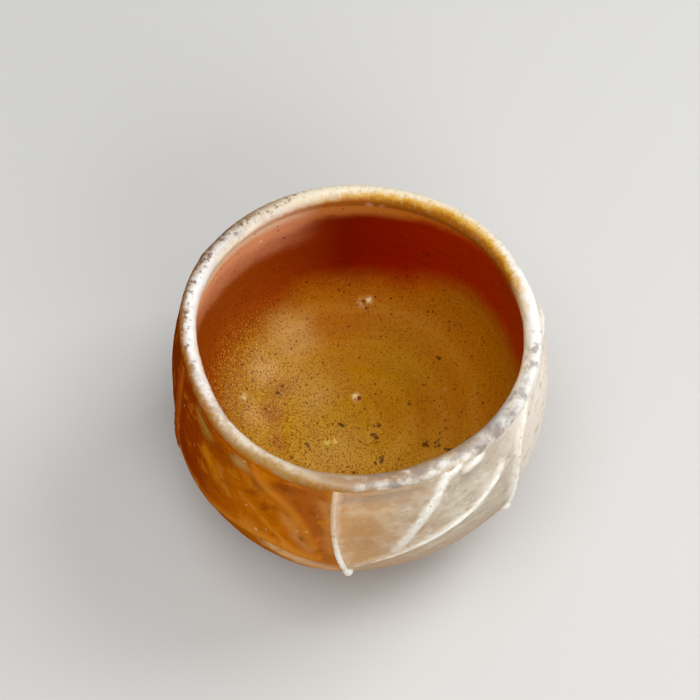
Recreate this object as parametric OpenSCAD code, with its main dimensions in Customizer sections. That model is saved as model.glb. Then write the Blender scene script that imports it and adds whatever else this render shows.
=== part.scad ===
// Squat yunomi teacup of thrown stoneware, in millimetres with +Z up.
// The origin is the centre of the foot's underside, where the cup meets the table.
// Angles run counter-clockwise from +X seen from above, and the cup's front faces -Y.

/* [Cup] */
// Overall height, from the table to the top of the glazed lip
height = 62; // [56:0.5:80]
// Outside diameter of the glazed lip
lip_d = 84; // [76:0.5:96]
// Outside diameter of the clay at the belly, its widest part
belly_d = 90; // [84:0.5:104]
// Height of the belly above the table
belly_h = 42; // [34:0.5:48]
// Fullness of the outside below the belly, where 2 is an ellipse and more is squarer
outside_fullness = 2.4; // [2:0.1:3]

/* [Wall and floor] */
// Thickness of the clay wall at the belly
wall_t = 4.8; // [3.5:0.1:6.5]
// Thickness of the bare clay at the lip
lip_t = 3.8; // [3:0.1:5]
// Thickness of the clay floor at its centre
floor_t = 7; // [5:0.5:10]
// Fullness of the hollow below the belly, where 2 is an ellipse and more is squarer
inside_fullness = 2.8; // [2:0.1:3.4]

/* [Foot] */
// Outside diameter of the foot ring where it meets the body
foot_d = 50; // [42:0.5:60]
// Height of the foot ring
foot_h = 9; // [5:0.5:12]
// Width of the foot ring where it meets the body
foot_w = 5; // [4:0.5:8]
// How far the foot ring's outside draws in towards the table
foot_taper = 1; // [0:0.1:2]
// Rounding of the two edges that the cup stands on
foot_round = 1; // [0.3:0.1:1.5]
// Flat ledge of the body around the top of the foot ring
foot_ledge = 1; // [0.5:0.1:3]

/* [Glazes] */
// Thickness of the amber glaze inside the cup
liner_t = 0.5; // [0.3:0.05:1]
// Thickness of the white glaze over the lip
lip_glaze_t = 0.5; // [0.3:0.05:1]
// How far the white glaze runs down the inside, below the round of the lip
lip_glaze_in = 1; // [0.5:0.1:5]
// How far the white glaze runs down the outside, below the round of the lip
lip_glaze_out = 1.5; // [0.5:0.1:5]

/* [Slip lines] */
// Number of upright spines, and of panels between them
spine_count = 6; // [4:1:8]
// Angle of the front spine
front_angle = 263; // [240:1:290]
// Height of the blobs at the lower ends of the spines
blob_h = 23; // [18:0.5:28]
// Size of a blob beside its spine
blob_swell = 1.7; // [1.2:0.1:2.2]
// Width of a spine
spine_w = 1.5; // [1:0.1:2.5]
// Rise of a spine above the wall
spine_rise = 0.8; // [0.4:0.1:1.2]
// Width of a sweep
sweep_w = 1.3; // [0.8:0.1:2]
// Rise of a sweep above the wall
sweep_rise = 0.7; // [0.4:0.1:1]
// Width of a vein
vein_w = 1.9; // [1:0.1:3]
// Rise of a vein above the wall
vein_rise = 0.6; // [0.4:0.1:1]
// Gap between the heads of the lines and the edge of the white glaze
head_gap = 0.2; // [0.1:0.1:1]
// Least gap between a sweep and the spine that it runs down to
tail_gap = 0.4; // [0.2:0.1:1]

/* [Hidden] */
$fn = 96;

// The lines are drawn by hand, so each has its own lean. Angles are in degrees.
// How far each spine stands from its even place, from the front spine round,
// and how far its head and tail lean from upright
spine_shift = [-1, 1, -2, 2, -1, -7];
spine_head_lean = [0.6, 7.3, -14.5, 3.7, 6, -3];
spine_tail_lean = [5, -1, 2, 4, -2, 2.5];
// How far each blob stands above the height of the others
blob_up = [0, 0, 1, 0, 1, 2];
// Panels with a sweep and a vein, counted from the one to the right of the front spine
lined_panels = [0, 2, 3, 5];
// Height of each sweep's head, and how far it sags below a straight line
sweep_head_h = [49.5, 46, 50, 34];
sweep_sag = [3.3, 3, 3, -3];
// Each sweep ends this angle short of the next spine
sweep_stop_angle = 6;
// Height of the sweeps' tails above the blobs
sweep_tail_up = 5;
// Angles of each vein's head and tail from the spine on the left of its panel, its tail height,
// and how far it bows above a straight line
vein_head_angle = [35.7, 33, 36.3, 31.5];
vein_tail_angle = [18, 16, 20, 53.5];
vein_tail_h = [35.5, 37, 36, 39];
vein_bow = [0.5, 1, 0.5, 4.5];

// Smoothness of the profile, of the beads and of the round wall that they lie on
curve_steps = 14;
wall_steps = 6;
arc_steps = 5;
bead_sides = 8;
bead_steps = 16;
blob_steps = 6;
form_fn = 720;
// Share of a spine's length that its blob takes, how far the blob's end closes,
// and how fast the leans fade along a spine
blob_share = 0.09;
blob_close = 0.85;
head_fade = 6;
tail_fade = 2;
// Share of a sweep's or vein's length over which each end narrows, and its end size
taper_share = 0.2;
end_scale = 0.4;
// Half height over which the wall's slope is measured
slope_probe = 0.1;

belly_r = belly_d / 2;
foot_r = foot_d / 2;
foot_in_r = foot_r - foot_w;
foot_edge_r = min(foot_round, (foot_w - foot_taper) / 3);
wall_foot_r = foot_r + foot_ledge;
bowl_r = belly_r - wall_t;
floor_z = foot_h + floor_t;

// The lip is half a circle, turned by the wall's lean
clay_lip_r = lip_d / 2 - lip_glaze_t;
lip_round = lip_t / 2;
lip_c_z = height - lip_glaze_t - lip_round;
lip_lean = atan(2 * (belly_r - clay_lip_r) / (lip_c_z - belly_h));
lip_across = lip_round * [cos(lip_lean), sin(lip_lean)];
lip_c = [clay_lip_r - lip_across[0], lip_c_z];
lip_out = lip_c + lip_across;
lip_in = lip_c - lip_across;
out_edge_z = lip_out[1] - lip_glaze_out;
in_edge_z = lip_in[1] - lip_glaze_in;

// Height where a line starts, so that its whole head stays under the white glaze
function head_z(width, rise) = out_edge_z - head_gap - width / 2 - rise * sin(lip_lean);
spine_top = head_z(spine_w, spine_rise);
vein_top = head_z(vein_w * end_scale, vein_rise * end_scale);

panel_angle = 360 / spine_count;

function steps(first, last, n) = [for (i = [0:n]) first + (last - first) * i / n];
function rest(list) = [for (i = [1:len(list) - 1]) list[i]];
function pick(list, i) = list[i % len(list)];

// Quarter of a rounded square, from angle 90 at its foot to angle 0 at the belly
function quarter(a, foot, belly, fullness) = [
    foot[0] + (belly[0] - foot[0]) * pow(cos(a), 2 / fullness),
    belly[1] - (belly[1] - foot[1]) * pow(sin(a), 2 / fullness)
];

// Radius of a wall that leaves the belly upright and leans in to a point of the lip
function lean_r(z, start_r, end) =
    start_r - (start_r - end[0]) * pow((z - belly_h) / (end[1] - belly_h), 2);
function lean_path(from_z, to_z, n, start_r, end) =
    [for (z = steps(from_z, to_z, n)) [lean_r(z, start_r, end), z]];

// Profile of the clay, up the outside, over the lip and down to the middle of the floor
under_path = [for (a = steps(90, 0, curve_steps))
    quarter(a, [wall_foot_r, foot_h], [belly_r, belly_h], outside_fullness)];
shoulder_path = lean_path(belly_h, out_edge_z, wall_steps, belly_r, lip_out);
round_angles = concat(steps(lip_lean, 90, arc_steps), rest(steps(90, 180 + lip_lean, arc_steps)));
lip_path = concat(
    [[lean_r(out_edge_z, belly_r, lip_out), out_edge_z]],
    [for (a = round_angles) lip_c + lip_round * [cos(a), sin(a)]],
    [[lean_r(in_edge_z, bowl_r, lip_in), in_edge_z]]
);
bowl_path = concat(
    lean_path(in_edge_z, belly_h, wall_steps, bowl_r, lip_in),
    rest([for (a = steps(0, 90, curve_steps))
        quarter(a, [0, floor_z], [bowl_r, belly_h], inside_fullness)])
);

// The glazed stretch of the profile, where the white glaze ends at the edge point
glazed_path = concat(lip_path, rest(bowl_path));
edge_i = len(lip_path) - 1;
last_i = len(glazed_path) - 1;

// A point of the glazed stretch, lifted off the clay by a glaze's thickness
function coat_pt(i, t) =
    let (d = glazed_path[min(i + 1, last_i)] - glazed_path[max(i - 1, 0)])
    glazed_path[i] + t * [d[1], -d[0]] / norm(d);

// Radius of the outside at a height, and the point and outward normal there
function outside_r(z) = z > belly_h
    ? lean_r(z, belly_r, lip_out)
    : wall_foot_r + (belly_r - wall_foot_r)
        * pow(1 - pow((belly_h - z) / (belly_h - foot_h), outside_fullness), 1 / outside_fullness);
function on_wall(p) = [outside_r(p[1]) * cos(p[0]), outside_r(p[1]) * sin(p[0]), p[1]];
function wall_normal(p) =
    let (rise = outside_r(p[1] + slope_probe) - outside_r(p[1] - slope_probe))
    let (n = [cos(p[0]), sin(p[0]), -rise / (2 * slope_probe)])
    n / norm(n);

// Height of a spine's blob, and the spine's angle at a share of its length from 0 at the head
function blob_z(i) = blob_h + pick(blob_up, i);
function spine_angle(i, u) = front_angle + panel_angle * i + pick(spine_shift, i)
    + pick(spine_head_lean, i) * pow(1 - u, head_fade)
    + pick(spine_tail_lean, i) * pow(u, tail_fade);
function blob_scale(u) =
    let (v = (u - (1 - blob_share)) / blob_share)
    v < 0 ? 1
    : v < 0.5 ? 1 + (blob_swell - 1) * sin(180 * v)
    : blob_swell * sqrt(1 - blob_close * pow(2 * v - 1, 2));
spine_shares = concat(steps(0, 1 - blob_share, bead_steps), rest(steps(1 - blob_share, 1, blob_steps)));
function spine_path(i) = [for (u = spine_shares)
    [spine_angle(i, u), spine_top + (blob_z(i) - spine_top) * u, blob_scale(u)]];

// Both ends of a sweep and of a vein narrow to a point
function end_taper(u) =
    end_scale + (1 - end_scale) * sin(90 * min(1, min(u, 1 - u) / taper_share));

// A sweep runs from beside the blob on its left up to the next spine
function sweep_tail(panel) =
    let (z = blob_z(panel) + sweep_tail_up, u = (spine_top - z) / (spine_top - blob_z(panel)))
    spine_angle(panel, u)
    + ((spine_w + sweep_w) / 2 + tail_gap) / outside_r(z) * 180 / PI;
function sweep_path(k) =
    let (panel = pick(lined_panels, k), first = sweep_tail(panel))
    let (last = front_angle + panel_angle * (panel + 1) - sweep_stop_angle)
    let (low = blob_z(panel) + sweep_tail_up, high = pick(sweep_head_h, k))
    [for (u = steps(0, 1, bead_steps))
        [first + (last - first) * u,
         low + (high - low) * u - pick(sweep_sag, k) * sin(180 * u * u),
         end_taper(u)]];

// A vein runs slanting down the wall from the white glaze
function vein_path(k) =
    let (start = front_angle + panel_angle * pick(lined_panels, k))
    let (head = start + pick(vein_head_angle, k), tail = start + pick(vein_tail_angle, k))
    [for (u = steps(0, 1, bead_steps))
        [head + (tail - head) * u,
         vein_top + (pick(vein_tail_h, k) - vein_top) * u + pick(vein_bow, k) * sin(180 * u * u),
         end_taper(u)]];

// One ring of a bead: an ellipse across the path, half of it above the wall
function bead_ring(path, i, width, rise) =
    let (ahead = on_wall(path[min(i + 1, len(path) - 1)]), behind = on_wall(path[max(i - 1, 0)]))
    let (n = wall_normal(path[i]), across = cross(ahead - behind, n) / norm(ahead - behind))
    [for (k = [0:bead_sides - 1])
        let (a = 360 * (k + 0.5) / bead_sides)
        on_wall(path[i]) + path[i][2] * (across * width / 2 * cos(a) + n * rise * sin(a))];

// A bead swept along a path of angles, heights and scales on the wall
module bead(path, width, rise) {
    rings = len(path);
    points = [for (i = [0:rings - 1]) each bead_ring(path, i, width, rise)];
    sides = [for (i = [0:rings - 2], k = [0:bead_sides - 1])
        let (a = i * bead_sides + k, b = i * bead_sides + (k + 1) % bead_sides)
        each [[a, b, a + bead_sides], [b, b + bead_sides, a + bead_sides]]];
    head = [for (k = [bead_sides - 1:-1:0]) k];
    tail = [for (k = [0:bead_sides - 1]) (rings - 1) * bead_sides + k];
    polyhedron(points, concat(sides, [head], [tail]));
}

// The body's outside without its hollow
module clay_form() {
    rotate_extrude($fn = form_fn)
        polygon(concat([[0, foot_h]], under_path, rest(shoulder_path), [[0, out_edge_z]]));
}

// What is left of a bead above the wall
module slip_line(path, width, rise) {
    color("#efe8dc")
        difference() {
            bead(path, width, rise);
            clay_form();
        }
}

module clay_body() {
    color("#b9824f")
        rotate_extrude()
            polygon(concat(
                [[0, foot_h]],
                under_path,
                rest(shoulder_path),
                rest(lip_path),
                rest(bowl_path)
            ));
}

module foot_ring() {
    out_c = [foot_r - foot_taper - foot_edge_r, foot_edge_r];
    in_c = [foot_in_r + foot_edge_r, foot_edge_r];
    color("#a8683a")
        rotate_extrude()
            polygon(concat(
                [[foot_in_r, foot_h], [foot_r, foot_h]],
                [for (a = steps(0, -90, arc_steps)) out_c + foot_edge_r * [cos(a), sin(a)]],
                [for (a = steps(-90, -180, arc_steps)) in_c + foot_edge_r * [cos(a), sin(a)]]
            ));
}

module liner_glaze() {
    color("#9a5b0c")
        rotate_extrude()
            polygon(concat(
                [for (i = [edge_i:last_i]) glazed_path[i]],
                [[0, floor_z + liner_t]],
                [for (i = [last_i - 1:-1:edge_i]) coat_pt(i, liner_t)]
            ));
}

module lip_glaze() {
    color("#f0eadf")
        rotate_extrude()
            polygon(concat(
                [for (i = [0:edge_i]) glazed_path[i]],
                [for (i = [edge_i:-1:0]) coat_pt(i, lip_glaze_t)]
            ));
}

module spine_bead(i) {
    slip_line(spine_path(i), spine_w, spine_rise);
}

module sweep_bead(k) {
    slip_line(sweep_path(k), sweep_w, sweep_rise);
}

module vein_bead(k) {
    slip_line(vein_path(k), vein_w, vein_rise);
}

clay_body();
foot_ring();
liner_glaze();
lip_glaze();
for (i = [1:spine_count])
    spine_bead(i - 1);
for (k = [1:len(lined_panels)])
    sweep_bead(k - 1);
for (k = [1:len(lined_panels)])
    vein_bead(k - 1);
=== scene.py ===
# %% [markdown]
# # A squat yunomi teacup, from its frame to its looks
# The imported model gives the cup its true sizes: a thrown clay bowl on a turned foot, a coat of
# amber glaze inside, a white glaze over the lip and raised lines of white slip outside. In this
# lesson each of those pieces is made again as a hand would leave it: a little out of round,
# pressed flat between the lines, pitted and speckled by the fire.
#
# The pieces are grown by geometry nodes on the model's own profile, so they keep its sizes.
# Lengths in the lists, in the sizes of the lines and in the materials are in millimetres, and
# angles in degrees. Everything else is in metres.

import math

import bmesh
import bpy
import numpy as np
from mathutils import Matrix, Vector


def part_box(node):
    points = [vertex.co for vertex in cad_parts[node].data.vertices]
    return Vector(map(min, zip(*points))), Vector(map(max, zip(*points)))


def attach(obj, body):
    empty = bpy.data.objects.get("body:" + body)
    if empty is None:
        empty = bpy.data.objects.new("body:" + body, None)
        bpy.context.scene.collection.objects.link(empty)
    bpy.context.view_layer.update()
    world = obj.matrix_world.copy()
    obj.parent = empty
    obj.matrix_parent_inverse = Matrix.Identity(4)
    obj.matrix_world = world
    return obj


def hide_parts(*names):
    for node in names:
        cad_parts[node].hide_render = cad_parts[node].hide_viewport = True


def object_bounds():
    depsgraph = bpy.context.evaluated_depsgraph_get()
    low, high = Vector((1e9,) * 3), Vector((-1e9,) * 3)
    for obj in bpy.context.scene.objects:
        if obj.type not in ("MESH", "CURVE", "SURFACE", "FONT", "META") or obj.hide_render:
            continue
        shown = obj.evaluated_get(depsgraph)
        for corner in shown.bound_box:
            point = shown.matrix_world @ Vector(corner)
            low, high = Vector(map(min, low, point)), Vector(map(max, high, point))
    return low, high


MM = 0.001
TURN = 2 * math.pi
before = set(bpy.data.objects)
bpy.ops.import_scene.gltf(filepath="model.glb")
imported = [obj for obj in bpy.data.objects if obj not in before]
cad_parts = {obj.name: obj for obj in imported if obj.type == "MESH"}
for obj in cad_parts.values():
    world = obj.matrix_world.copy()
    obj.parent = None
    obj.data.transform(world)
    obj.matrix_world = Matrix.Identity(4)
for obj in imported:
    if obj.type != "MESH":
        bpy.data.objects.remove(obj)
CAD_LOW, CAD_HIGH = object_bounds()
size_mm = [round((high - low) / MM, 1) for low, high in zip(CAD_LOW, CAD_HIGH)]
print("the model is", size_mm, "mm and has", len(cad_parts), "nodes")

# %% [markdown]
# ## Camera
# The photograph looks down into the cup from 58 degrees above the table. The lens is a long one,
# and the camera's shift puts the middle of the lip where the photograph has it.

# %% Camera at the photograph's angle
CAMERA_ELEVATION = math.radians(58.3)
CAMERA_DISTANCE = 0.600
LENS_MM = 133
SENSOR_MM = 36
PICTURE_SIDE = 700
LIP_PIXEL = (359.2, 333.7)
LIP_MIDDLE_DROP = 2.4 * MM


def put(name, data):
    """A new object in the scene."""
    obj = bpy.data.objects.new(name, data)
    bpy.context.collection.objects.link(obj)
    return obj


lip_high = Vector(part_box("lip_glaze")[1])
lip_middle = Vector((0, 0, lip_high.z - LIP_MIDDLE_DROP))
toward_camera = Vector((0, -math.cos(CAMERA_ELEVATION), math.sin(CAMERA_ELEVATION)))

camera = put("photo_camera", bpy.data.cameras.new("photo_camera"))
camera.data.lens = LENS_MM
camera.data.sensor_width = SENSOR_MM
camera.data.shift_x = (PICTURE_SIDE / 2 - LIP_PIXEL[0]) / PICTURE_SIDE
camera.data.shift_y = (LIP_PIXEL[1] - PICTURE_SIDE / 2) / PICTURE_SIDE
camera.location = lip_middle + CAMERA_DISTANCE * toward_camera
camera.rotation_euler = toward_camera.to_track_quat("Z", "Y").to_euler()
bpy.context.scene.camera = camera
print("camera at", [round(value, 4) for value in camera.location])

# %% [markdown]
# ## Light and floor
# A wide lamp stands behind the cup on the right, as in the photograph: the right side and the lip
# are bright and the left side falls off. The pale floor and the sky light fill the shadows.

# %% Studio
SKY_STRENGTH = 0.28
FLOOR_HALF = 4.0
FLOOR_COLOUR = (0.60, 0.595, 0.58, 1)
FLOOR_ROUGHNESS = 0.9


def soft_lamp(name, azimuth, elevation, distance, width, watts, mirrored=False):
    """A square area lamp that looks at the lip. Only a mirrored one shows in the glazes."""
    azimuth, elevation = math.radians(azimuth), math.radians(elevation)
    away = Vector((
        math.cos(elevation) * math.cos(azimuth),
        math.cos(elevation) * math.sin(azimuth),
        math.sin(elevation),
    ))
    lamp = bpy.data.lights.new(name, "AREA")
    lamp.energy = watts
    lamp.size = width
    stand = put(name, lamp)
    stand.location = lip_middle + distance * away
    stand.rotation_euler = away.to_track_quat("Z", "Y").to_euler()
    stand.visible_glossy = mirrored


soft_lamp("key_lamp", azimuth=25, elevation=48, distance=0.9, width=0.5, watts=4.5, mirrored=True)
soft_lamp("top_lamp", azimuth=255, elevation=76, distance=1.1, width=0.7, watts=6)
soft_lamp("front_lamp", azimuth=295, elevation=30, distance=1.0, width=0.6, watts=4.5)

world = bpy.data.worlds.new("studio")
world.use_nodes = True
sky = world.node_tree.nodes["Background"].inputs
sky["Color"].default_value = (1, 1, 1, 1)
sky["Strength"].default_value = SKY_STRENGTH
bpy.context.scene.world = world
bpy.context.scene.view_settings.view_transform = "Standard"

floor_corners = [(x * FLOOR_HALF, y * FLOOR_HALF, 0) for x, y in ((-1, -1), (1, -1), (1, 1), (-1, 1))]
floor_mesh = bpy.data.meshes.new("floor")
floor_mesh.from_pydata(floor_corners, [], [(0, 1, 2, 3)])
floor = put("floor", floor_mesh)
floor_material = bpy.data.materials.new("pale_floor")
floor_material.use_nodes = True
floor_shader = floor_material.node_tree.nodes["Principled BSDF"]
floor_shader.inputs["Base Color"].default_value = FLOOR_COLOUR
floor_shader.inputs["Roughness"].default_value = FLOOR_ROUGHNESS
floor_mesh.materials.append(floor_material)
print("floor of", 2 * FLOOR_HALF, "m, three lamps and a sky")

# %% [markdown]
# ## Profile
# The cup is a turned form, so one outline gives its shape: up the outside, over the round lip,
# down the inside. The sizes that can be read off the model's boxes are read there.
# The rest are the model's own driving sizes.

# %% Sizes of the cup
foot_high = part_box("foot_ring")[1]
FOOT_H = foot_high[2]
FOOT_R = foot_high[0]
FOOT_TAPER = 1 * MM
FOOT_T = 5 * MM
FOOT_ROUND = 1 * MM
BELLY_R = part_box("clay_body")[1][0]
BELLY_H = 42 * MM
WALL_OVER_FOOT = 1 * MM
WALL_FOOT_R = FOOT_R + WALL_OVER_FOOT
OUTSIDE_FULLNESS = 2.4
INSIDE_FULLNESS = 2.8
WALL_T = 4.8 * MM
BOWL_R = BELLY_R - WALL_T
FLOOR_T = 7 * MM
FLOOR_Z = FOOT_H + FLOOR_T
GLAZE_T = 0.5 * MM
LIP_ROUND = 1.9 * MM
GLAZE_OUT_DROP = 1.5 * MM
GLAZE_IN_DROP = 1.0 * MM
# Points on each stretch of the outline
QUARTER_POINTS = 400
WALL_POINTS = 200
LIP_POINTS = 80
FOOT_ARC_POINTS = 12

clay_lip_r = lip_high.x - GLAZE_T
lip_c_z = lip_high.z - GLAZE_T - LIP_ROUND
lip_lean = math.atan(2 * (BELLY_R - clay_lip_r) / (lip_c_z - BELLY_H))
lip_c = np.array([clay_lip_r - LIP_ROUND * math.cos(lip_lean), lip_c_z])
lip_side = LIP_ROUND * np.array([math.cos(lip_lean), math.sin(lip_lean)])
lip_out, lip_in = lip_c + lip_side, lip_c - lip_side
out_edge_z = lip_out[1] - GLAZE_OUT_DROP
in_edge_z = lip_in[1] - GLAZE_IN_DROP
print("the lip leans in by", round(math.degrees(lip_lean), 1), "degrees")


# %% The cup's outline
def lean_r(z, start_r, end):
    """Radius of a wall that leaves the belly upright and leans in to a point of the lip."""
    return start_r - (start_r - end[0]) * ((z - BELLY_H) / (end[1] - BELLY_H)) ** 2


def outside_r(z):
    """Radius of the clay's outside at a height."""
    if z > BELLY_H:
        return lean_r(z, BELLY_R, lip_out)
    share = min(1, (BELLY_H - z) / (BELLY_H - FOOT_H))
    full = (1 - share**OUTSIDE_FULLNESS) ** (1 / OUTSIDE_FULLNESS)
    return WALL_FOOT_R + (BELLY_R - WALL_FOOT_R) * full


def quarter(count, foot, belly, fullness):
    """Points of a rounded quarter, from its foot to the belly."""
    points = []
    for turn in np.linspace(math.pi / 2, 0, count):
        across = max(0, math.cos(turn)) ** (2 / fullness)
        down = max(0, math.sin(turn)) ** (2 / fullness)
        radius = foot[0] + (belly[0] - foot[0]) * across
        points.append((radius, belly[1] - (belly[1] - foot[1]) * down))
    return points


def arc(centre, radius, start, end, count):
    """Points of a round, from one angle to another."""
    angles = np.linspace(start, end, count)
    return [(centre[0] + radius * math.cos(a), centre[1] + radius * math.sin(a)) for a in angles]


rising = np.linspace(BELLY_H, lip_out[1], WALL_POINTS)
falling = np.linspace(lip_in[1], BELLY_H, WALL_POINTS)
under = quarter(QUARTER_POINTS, (WALL_FOOT_R, FOOT_H), (BELLY_R, BELLY_H), OUTSIDE_FULLNESS)
shoulder = [(lean_r(z, BELLY_R, lip_out), z) for z in rising]
lip_arc = arc(lip_c, LIP_ROUND, lip_lean, lip_lean + math.pi, LIP_POINTS)
inner_wall = [(lean_r(z, BOWL_R, lip_in), z) for z in falling]
bowl = quarter(QUARTER_POINTS, (0, FLOOR_Z), (BOWL_R, BELLY_H), INSIDE_FULLNESS)[::-1]
print(len(under + shoulder), "points outside and", len(inner_wall + bowl), "inside")

# %% [markdown]
# ## Node helpers
# Node trees for shapes and for materials are written the same way. A `Graph` adds a node, sets or
# links its inputs and gives back the output, so that a tree reads like a formula.

# %% Graph helper
class Graph:
    """A node tree, with short calls for the nodes that are used most."""

    def __init__(self, tree):
        self.tree = tree

    def feed(self, socket, value):
        """Links an output to the socket, or sets the socket to a number, a vector or a colour."""
        if isinstance(value, bpy.types.NodeSocket):
            self.tree.links.new(value, socket)
        elif socket.type == "RGBA":
            socket.default_value = (*value, 1.0)
        else:
            socket.default_value = value

    def node(self, kind, inputs=None, **settings):
        made = self.tree.nodes.new(kind)
        for name, value in settings.items():
            setattr(made, name, value)
        for key, value in (inputs or {}).items():
            self.feed(made.inputs[key], value)
        return made

    def given(self, name):
        """The tree's own input of that name."""
        for made in self.tree.nodes:
            if made.bl_idname == "NodeGroupInput":
                return made.outputs[name]
        return self.node("NodeGroupInput").outputs[name]

    def math(self, operation, a, b=0.0, clamp=False):
        made = self.node("ShaderNodeMath", {0: a, 1: b}, operation=operation, use_clamp=clamp)
        return made.outputs[0]

    def times(self, *factors):
        """The product of numbers, outputs and fades, which are given as (value, start, end)."""
        first, *others = [self.fade(*f) if isinstance(f, tuple) else f for f in factors]
        for other in others:
            first = self.math("MULTIPLY", first, other)
        return first

    def plus(self, first, *others):
        for other in others:
            first = self.math("ADD", first, other)
        return first

    def minus(self, a, b):
        return self.math("SUBTRACT", a, b)

    def over(self, a, b, clamp=False):
        """One number divided by another."""
        return self.math("DIVIDE", a, b, clamp)

    def vector(self, operation, a, b=(0, 0, 0)):
        made = self.node("ShaderNodeVectorMath", {0: a, 1: b}, operation=operation)
        plain = operation in ("LENGTH", "DISTANCE", "DOT_PRODUCT")
        return made.outputs["Value" if plain else "Vector"]

    def scaled(self, vector, factor):
        made = self.node("ShaderNodeVectorMath", {0: vector, "Scale": factor}, operation="SCALE")
        return made.outputs["Vector"]

    def parts(self, vector):
        made = self.node("ShaderNodeSeparateXYZ", {0: vector})
        return [made.outputs[axis] for axis in "XYZ"]

    def joined(self, x, y, z):
        return self.node("ShaderNodeCombineXYZ", {0: x, 1: y, 2: z}).outputs[0]

    def flat(self, place):
        """A place without its height."""
        return self.vector("MULTIPLY", place, (1, 1, 0))

    def outward(self, place):
        """The way from the cup's axis to a place."""
        return self.vector("NORMALIZE", self.flat(place))

    def fade(self, value, start, end, low=0.0, high=1.0):
        """Eases from low to high as the value goes from start to end."""
        made = self.node(
            "ShaderNodeMapRange",
            {"Value": value, "From Min": start, "From Max": end, "To Min": low, "To Max": high},
            interpolation_type="SMOOTHSTEP",
        )
        return made.outputs["Result"]

    def noise(self, scale, detail, roughness=0.5, at=None):
        """Noise from 0 to 1, at the tree's own place or at another."""
        place = self.place if at is None else at
        made = self.node(
            "ShaderNodeTexNoise",
            {"Vector": place, "Scale": scale, "Detail": detail, "Roughness": roughness},
        )
        return made.outputs[0]

    def sway(self, scale, detail, height, roughness=0.5):
        """Noise about zero, as high as the height from its lowest to its highest."""
        return self.times(self.minus(self.noise(scale, detail, roughness), 0.5), height)

    def stray(self, scale, detail, reach):
        """A small vector that points another way at each place."""
        inputs = {"Vector": self.place, "Scale": scale, "Detail": detail}
        made = self.node("ShaderNodeTexNoise", inputs)
        return self.scaled(self.vector("SUBTRACT", made.outputs["Color"], (0.5, 0.5, 0.5)), reach)


def new_group(name, kind, outputs, inputs):
    """An empty node group. Each socket has its name, its sort and, maybe, its first value."""
    tree = bpy.data.node_groups.new(name, kind)
    for way, sockets in (("OUTPUT", outputs), ("INPUT", inputs)):
        for label, sort, *first in sockets:
            socket = tree.interface.new_socket(label, in_out=way, socket_type="NodeSocket" + sort)
            if first:
                socket.default_value = first[0]
    return tree


print("graph helpers ready")

# %% [markdown]
# A `Shape` is a geometry tree for a modifier. It moves points, stores numbers on them for the
# materials, and ends in real geometry with its material set.

# %% Shape helper
class Shape(Graph):
    """A geometry tree with the named inputs."""

    def __init__(self, name, inputs):
        sockets = [("Geometry", "Geometry"), *inputs, ("Material", "Material")]
        super().__init__(new_group(name, "GeometryNodeTree", sockets[:1], sockets))
        self.tree.is_modifier = True
        self.place = self.node("GeometryNodeInputPosition").outputs[0]
        self.normal = self.node("GeometryNodeInputNormal").outputs["Normal"]

    def mesh_of(self, name):
        """The mesh of the object in an input."""
        return self.node("GeometryNodeObjectInfo", {"Object": self.given(name)}).outputs["Geometry"]

    def number(self, label):
        """A number stored on the points."""
        made = self.node("GeometryNodeInputNamedAttribute", {"Name": label}, data_type="FLOAT")
        return made.outputs[0]

    def store(self, geometry, label, value):
        """The geometry with a number stored on its points."""
        made = self.node(
            "GeometryNodeStoreNamedAttribute",
            {"Geometry": geometry, "Name": label, "Value": value},
            data_type="FLOAT",
            domain="POINT",
        )
        return made.outputs[0]

    def sample(self, geometry, value, index, kind="FLOAT"):
        """A value at one of the geometry's points."""
        made = self.node(
            "GeometryNodeSampleIndex",
            {"Geometry": geometry, "Value": value, "Index": index},
            data_type=kind,
            domain="POINT",
        )
        return made.outputs["Value"]

    def move(self, geometry, position):
        """The geometry with its points at a new position."""
        made = self.node("GeometryNodeSetPosition", {"Geometry": geometry, "Position": position})
        return made.outputs[0]

    def push(self, geometry, height):
        """The geometry with its points moved along their normals."""
        offset = self.scaled(self.normal, height)
        made = self.node("GeometryNodeSetPosition", {"Geometry": geometry, "Offset": offset})
        return made.outputs[0]

    def end(self, geometry):
        """Makes the tree's result: smooth and real geometry with its material."""
        smooth = self.node("GeometryNodeSetShadeSmooth", {"Geometry": geometry}).outputs[0]
        real = self.node("GeometryNodeRealizeInstances", {"Geometry": smooth}).outputs[0]
        painted = self.node(
            "GeometryNodeSetMaterial", {"Geometry": real, "Material": self.given("Material")}
        )
        self.node("NodeGroupOutput", {"Geometry": painted.outputs[0]})
        print("tree", self.tree.name, "has", len(self.tree.nodes), "nodes")

    def grow(self, obj, values):
        """Puts the tree on an object and sets the named inputs."""
        modifier = obj.modifiers.new(self.tree.name, "NODES")
        modifier.node_group = self.tree
        for item in self.tree.interface.items_tree:
            if item.in_out == "INPUT" and item.name in values:
                modifier[item.identifier] = values[item.name]


def wire(name, chains, numbers=None):
    """A helper mesh of open chains of points, with a number per point for each named attribute."""
    points = [tuple(point) for chain in chains for point in chain]
    edges, start = [], 0
    for chain in chains:
        edges += [(start + i, start + i + 1) for i in range(len(chain) - 1)]
        start += len(chain)
    mesh = bpy.data.meshes.new(name)
    mesh.from_pydata(points, edges, [])
    for label, values in (numbers or {}).items():
        mesh.attributes.new(label, "FLOAT", "POINT").data.foreach_set("value", list(values))
    return put(name, mesh)


def by_stops(at, stops):
    """The values at some places between stops of (place, value)."""
    return np.interp(at, *zip(*stops))


print("shape helpers ready")

# %% [markdown]
# ## The potter's hand
# Wet clay gives. Soft dents and swells go round the wall, each with its own share at the belly and
# at the lip, and are gone at the foot. The lip rises and falls a little. This small group moves a
# point with the clay. All the pieces use it, so that glaze and slip stay on the wall.

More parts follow.
